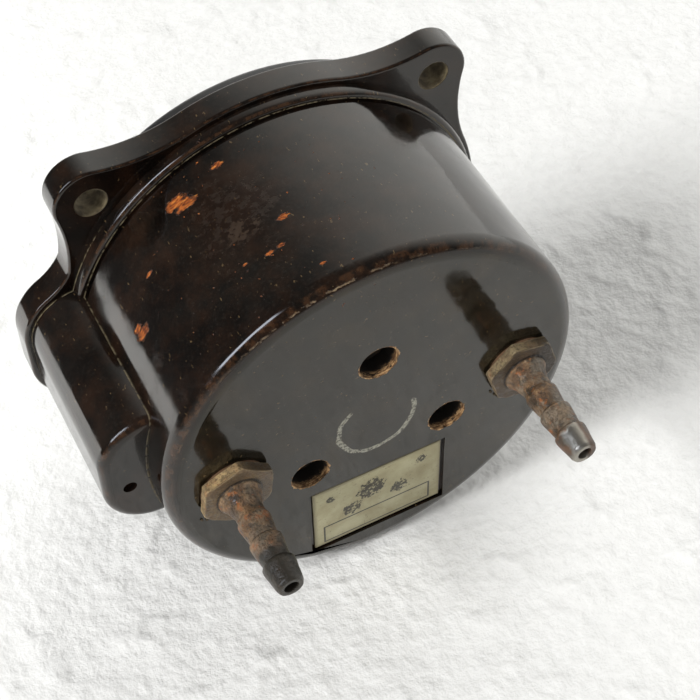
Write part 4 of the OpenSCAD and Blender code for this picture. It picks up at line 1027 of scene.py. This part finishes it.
def figure(words, angle, settings, material):
    """One dial number, upright, as a thin mesh on the dial's face."""
    curve = bpy.data.curves.new("figure", "FONT")
    curve.body = words
    curve.align_x = "CENTER"
    curve.align_y = "CENTER"
    curve.size = settings.figure_h * 1.35
    curve.offset = 0.00008
    curve.extrude = 0.00002
    curve.resolution_u = 6
    holder = new_object("figure", curve)
    graph = bpy.context.evaluated_depsgraph_get()
    mesh = bpy.data.meshes.new_from_object(holder.evaluated_get(graph))
    bpy.data.objects.remove(holder)
    radius = settings.mark_r - FIGURE_IN[len(words)]
    place = Vector((-math.cos(angle) * radius, DIAL_FRONT - 0.00002, math.sin(angle) * radius))
    mesh.transform(Matrix.Translation(place) @ Matrix.Rotation(math.radians(90), 4, "X"))
    side = "up" if angle > 0 else "down" if angle < 0 else "zero"
    obj = paint(new_object(f"figure_{words}_{side}", mesh), material)
    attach(obj, "case")


def arrow(name, way, material):
    """A flat arrow left of the dial's middle, which points up or down."""
    outline = [(-0.35, 4.6), (0.35, 4.6), (0.35, 9.2), (1.25, 9.2), (0, 11.8), (-1.25, 9.2), (-0.35, 9.2)]
    count = len(outline)
    corners = [((x - ARROW_X) * MM, DIAL_FRONT - lift, way * z * MM)
               for lift in PAINT_LIFT for x, z in outline]
    faces = [list(range(count)), list(range(2 * count))[:count - 1:-1]]
    for here in range(count):
        after = (here + 1) % count
        faces.append([after, here, here + count, after + count])
    mesh = bpy.data.meshes.new(name)
    mesh.from_pydata(corners, [], [face[::way] for face in faces])
    obj = paint(new_object(name, mesh), material)
    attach(obj, "case")


class INDICATOR_OT_dial(bpy.types.Operator):
    """Puts the marks and plain figures on the dial and paints dial and pointer"""
    bl_idname = "indicator.dial"
    bl_label = "Dial and pointer"

    def execute(self, context):
        settings = context.scene.indicator_dial
        material = luminous_paint("Luminous paint", settings.paint)
        tree = mark_tree(material)
        steps = settings.steps
        last_figure = steps - steps % FIGURE_EVERY
        for name, every, length, width in [
            ("dial_marks_fine", 1, 0.0024, 0.00045),
            ("dial_marks_bold", FIGURE_EVERY, 0.0042, 0.0011),
        ]:
            marks = new_object(name, bpy.data.meshes.new(name))
            half = steps // every
            grow(marks, tree, Count=2 * half + 1, Span=2 * settings.span * half * every / steps,
                 Radius=settings.mark_r, Length=length, Width=width, Depth=DIAL_FRONT - 0.00001)
            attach(marks, "case")
        for step in range(-last_figure, last_figure + 1, FIGURE_EVERY):
            figure(str(abs(step)), settings.span * step / steps, settings, material)
        arrow("climb_arrow", 1, material)
        arrow("sink_arrow", -1, material)
        nodes = frame["nodes"]
        paint(nodes["dial_plate"], enamel("Dial black", (0.010, 0.010, 0.011), 0.6, gloss=0.12, relief=0.05))
        paint(nodes["pointer"], luminous_paint("Pointer paint", (0.66, 0.64, 0.47)))
        return {"FINISHED"}


class INDICATOR_OT_front(bpy.types.Operator):
    """Finishes the bezel, spacer, glass and zero screw"""
    bl_idname = "indicator.front"
    bl_label = "Front"

    def execute(self, context):
        bezel = rounded_copy("bezel_ring", "bezel_worn")
        paint(bezel, enamel("Bezel enamel", (0.014, 0.014, 0.015), 0.32))
        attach(bezel, "case")
        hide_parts("bezel_ring")
        nodes = frame["nodes"]
        paint(nodes["spacer_ring"], enamel(
            "Spacer enamel", (0.012, 0.012, 0.013), 0.5, (0.05, 0.048, 0.045), gloss=0.2))
        paint(nodes["cover_glass"], glass("Cover glass"))
        screw = rounded_copy("zero_screw", "zero_screw_worn", back=-3.5)
        paint(screw, turned_steel())
        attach(screw, "zero_screw_group")
        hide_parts("zero_screw")
        return {"FINISHED"}


class INDICATOR_OT_movement(bpy.types.Operator):
    """Gives every inner part the finish of its metal"""
    bl_idname = "indicator.movement"
    bl_label = "Movement"

    def execute(self, context):
        finishes = {
            "brass": turned_metal("Rolled brass", (0.60, 0.43, 0.17), 0.26, 0.35, (0.24, 0.14, 0.05)),
            "steel": turned_steel(),
            "dark_steel": turned_metal("Blackened steel", (0.05, 0.045, 0.04), 0.5, 0.6, (0.10, 0.055, 0.03)),
            "blued_steel": turned_metal(
                "Blued spring steel", (0.06, 0.10, 0.28), 0.24, 0.3, (0.10, 0.07, 0.12), 12.0),
            "copper_alloy": turned_metal(
                "Capsule bronze", (0.58, 0.32, 0.14), 0.3, 0.4, (0.22, 0.10, 0.05), 3.0),
            "rubber": rubber("Aged rubber", (0.018, 0.018, 0.018), 0.75),
            "fibre": rubber("Fibre washer", (0.10, 0.055, 0.03), 0.85),
        }
        for part in frame["record"]["subparts"]:
            if part["material_slot"] in finishes:
                paint(frame["nodes"][part["node"]], finishes[part["material_slot"]])
        return {"FINISHED"}


class INDICATOR_PT_panel(bpy.types.Panel):
    """Lists the steps that finish the instrument"""
    bl_idname = "INDICATOR_PT_panel"
    bl_label = "Vertical Speed Indicator"
    bl_space_type = "VIEW_3D"
    bl_region_type = "UI"
    bl_category = "Indicator"

    def draw(self, context):
        for operator in OPERATORS:
            self.layout.operator(operator.bl_idname)
        for name in SETTINGS:
            settings = getattr(context.scene, name)
            for field in settings.bl_rna.properties:
                if field.identifier not in ("rna_type", "name"):
                    self.layout.prop(settings, field.identifier)


OPERATORS = (
    INDICATOR_OT_stage, INDICATOR_OT_case, INDICATOR_OT_nipples, INDICATOR_OT_crumbs, INDICATOR_OT_label,
    INDICATOR_OT_dial, INDICATOR_OT_front, INDICATOR_OT_movement,
)
SETTINGS = {
    "indicator_case": CaseSettings, "indicator_fittings": FittingSettings,
    "indicator_dial": DialSettings, "indicator_stage": StageSettings,
}


def register():
    for cls in (*SETTINGS.values(), *OPERATORS, INDICATOR_PT_panel):
        bpy.utils.register_class(cls)
    for name, cls in SETTINGS.items():
        setattr(bpy.types.Scene, name, bpy.props.PointerProperty(type=cls))


def unregister():
    for name in SETTINGS:
        delattr(bpy.types.Scene, name)
    for cls in (INDICATOR_PT_panel, *reversed(OPERATORS), *reversed(SETTINGS.values())):
        bpy.utils.unregister_class(cls)


def main():
    register()
    bpy.ops.indicator.stage()
    bpy.ops.indicator.case()
    bpy.ops.indicator.nipples()
    bpy.ops.indicator.crumbs()
    bpy.ops.indicator.label()
    bpy.ops.indicator.dial()
    bpy.ops.indicator.front()
    bpy.ops.indicator.movement()


if __name__ == "__main__":
    main()
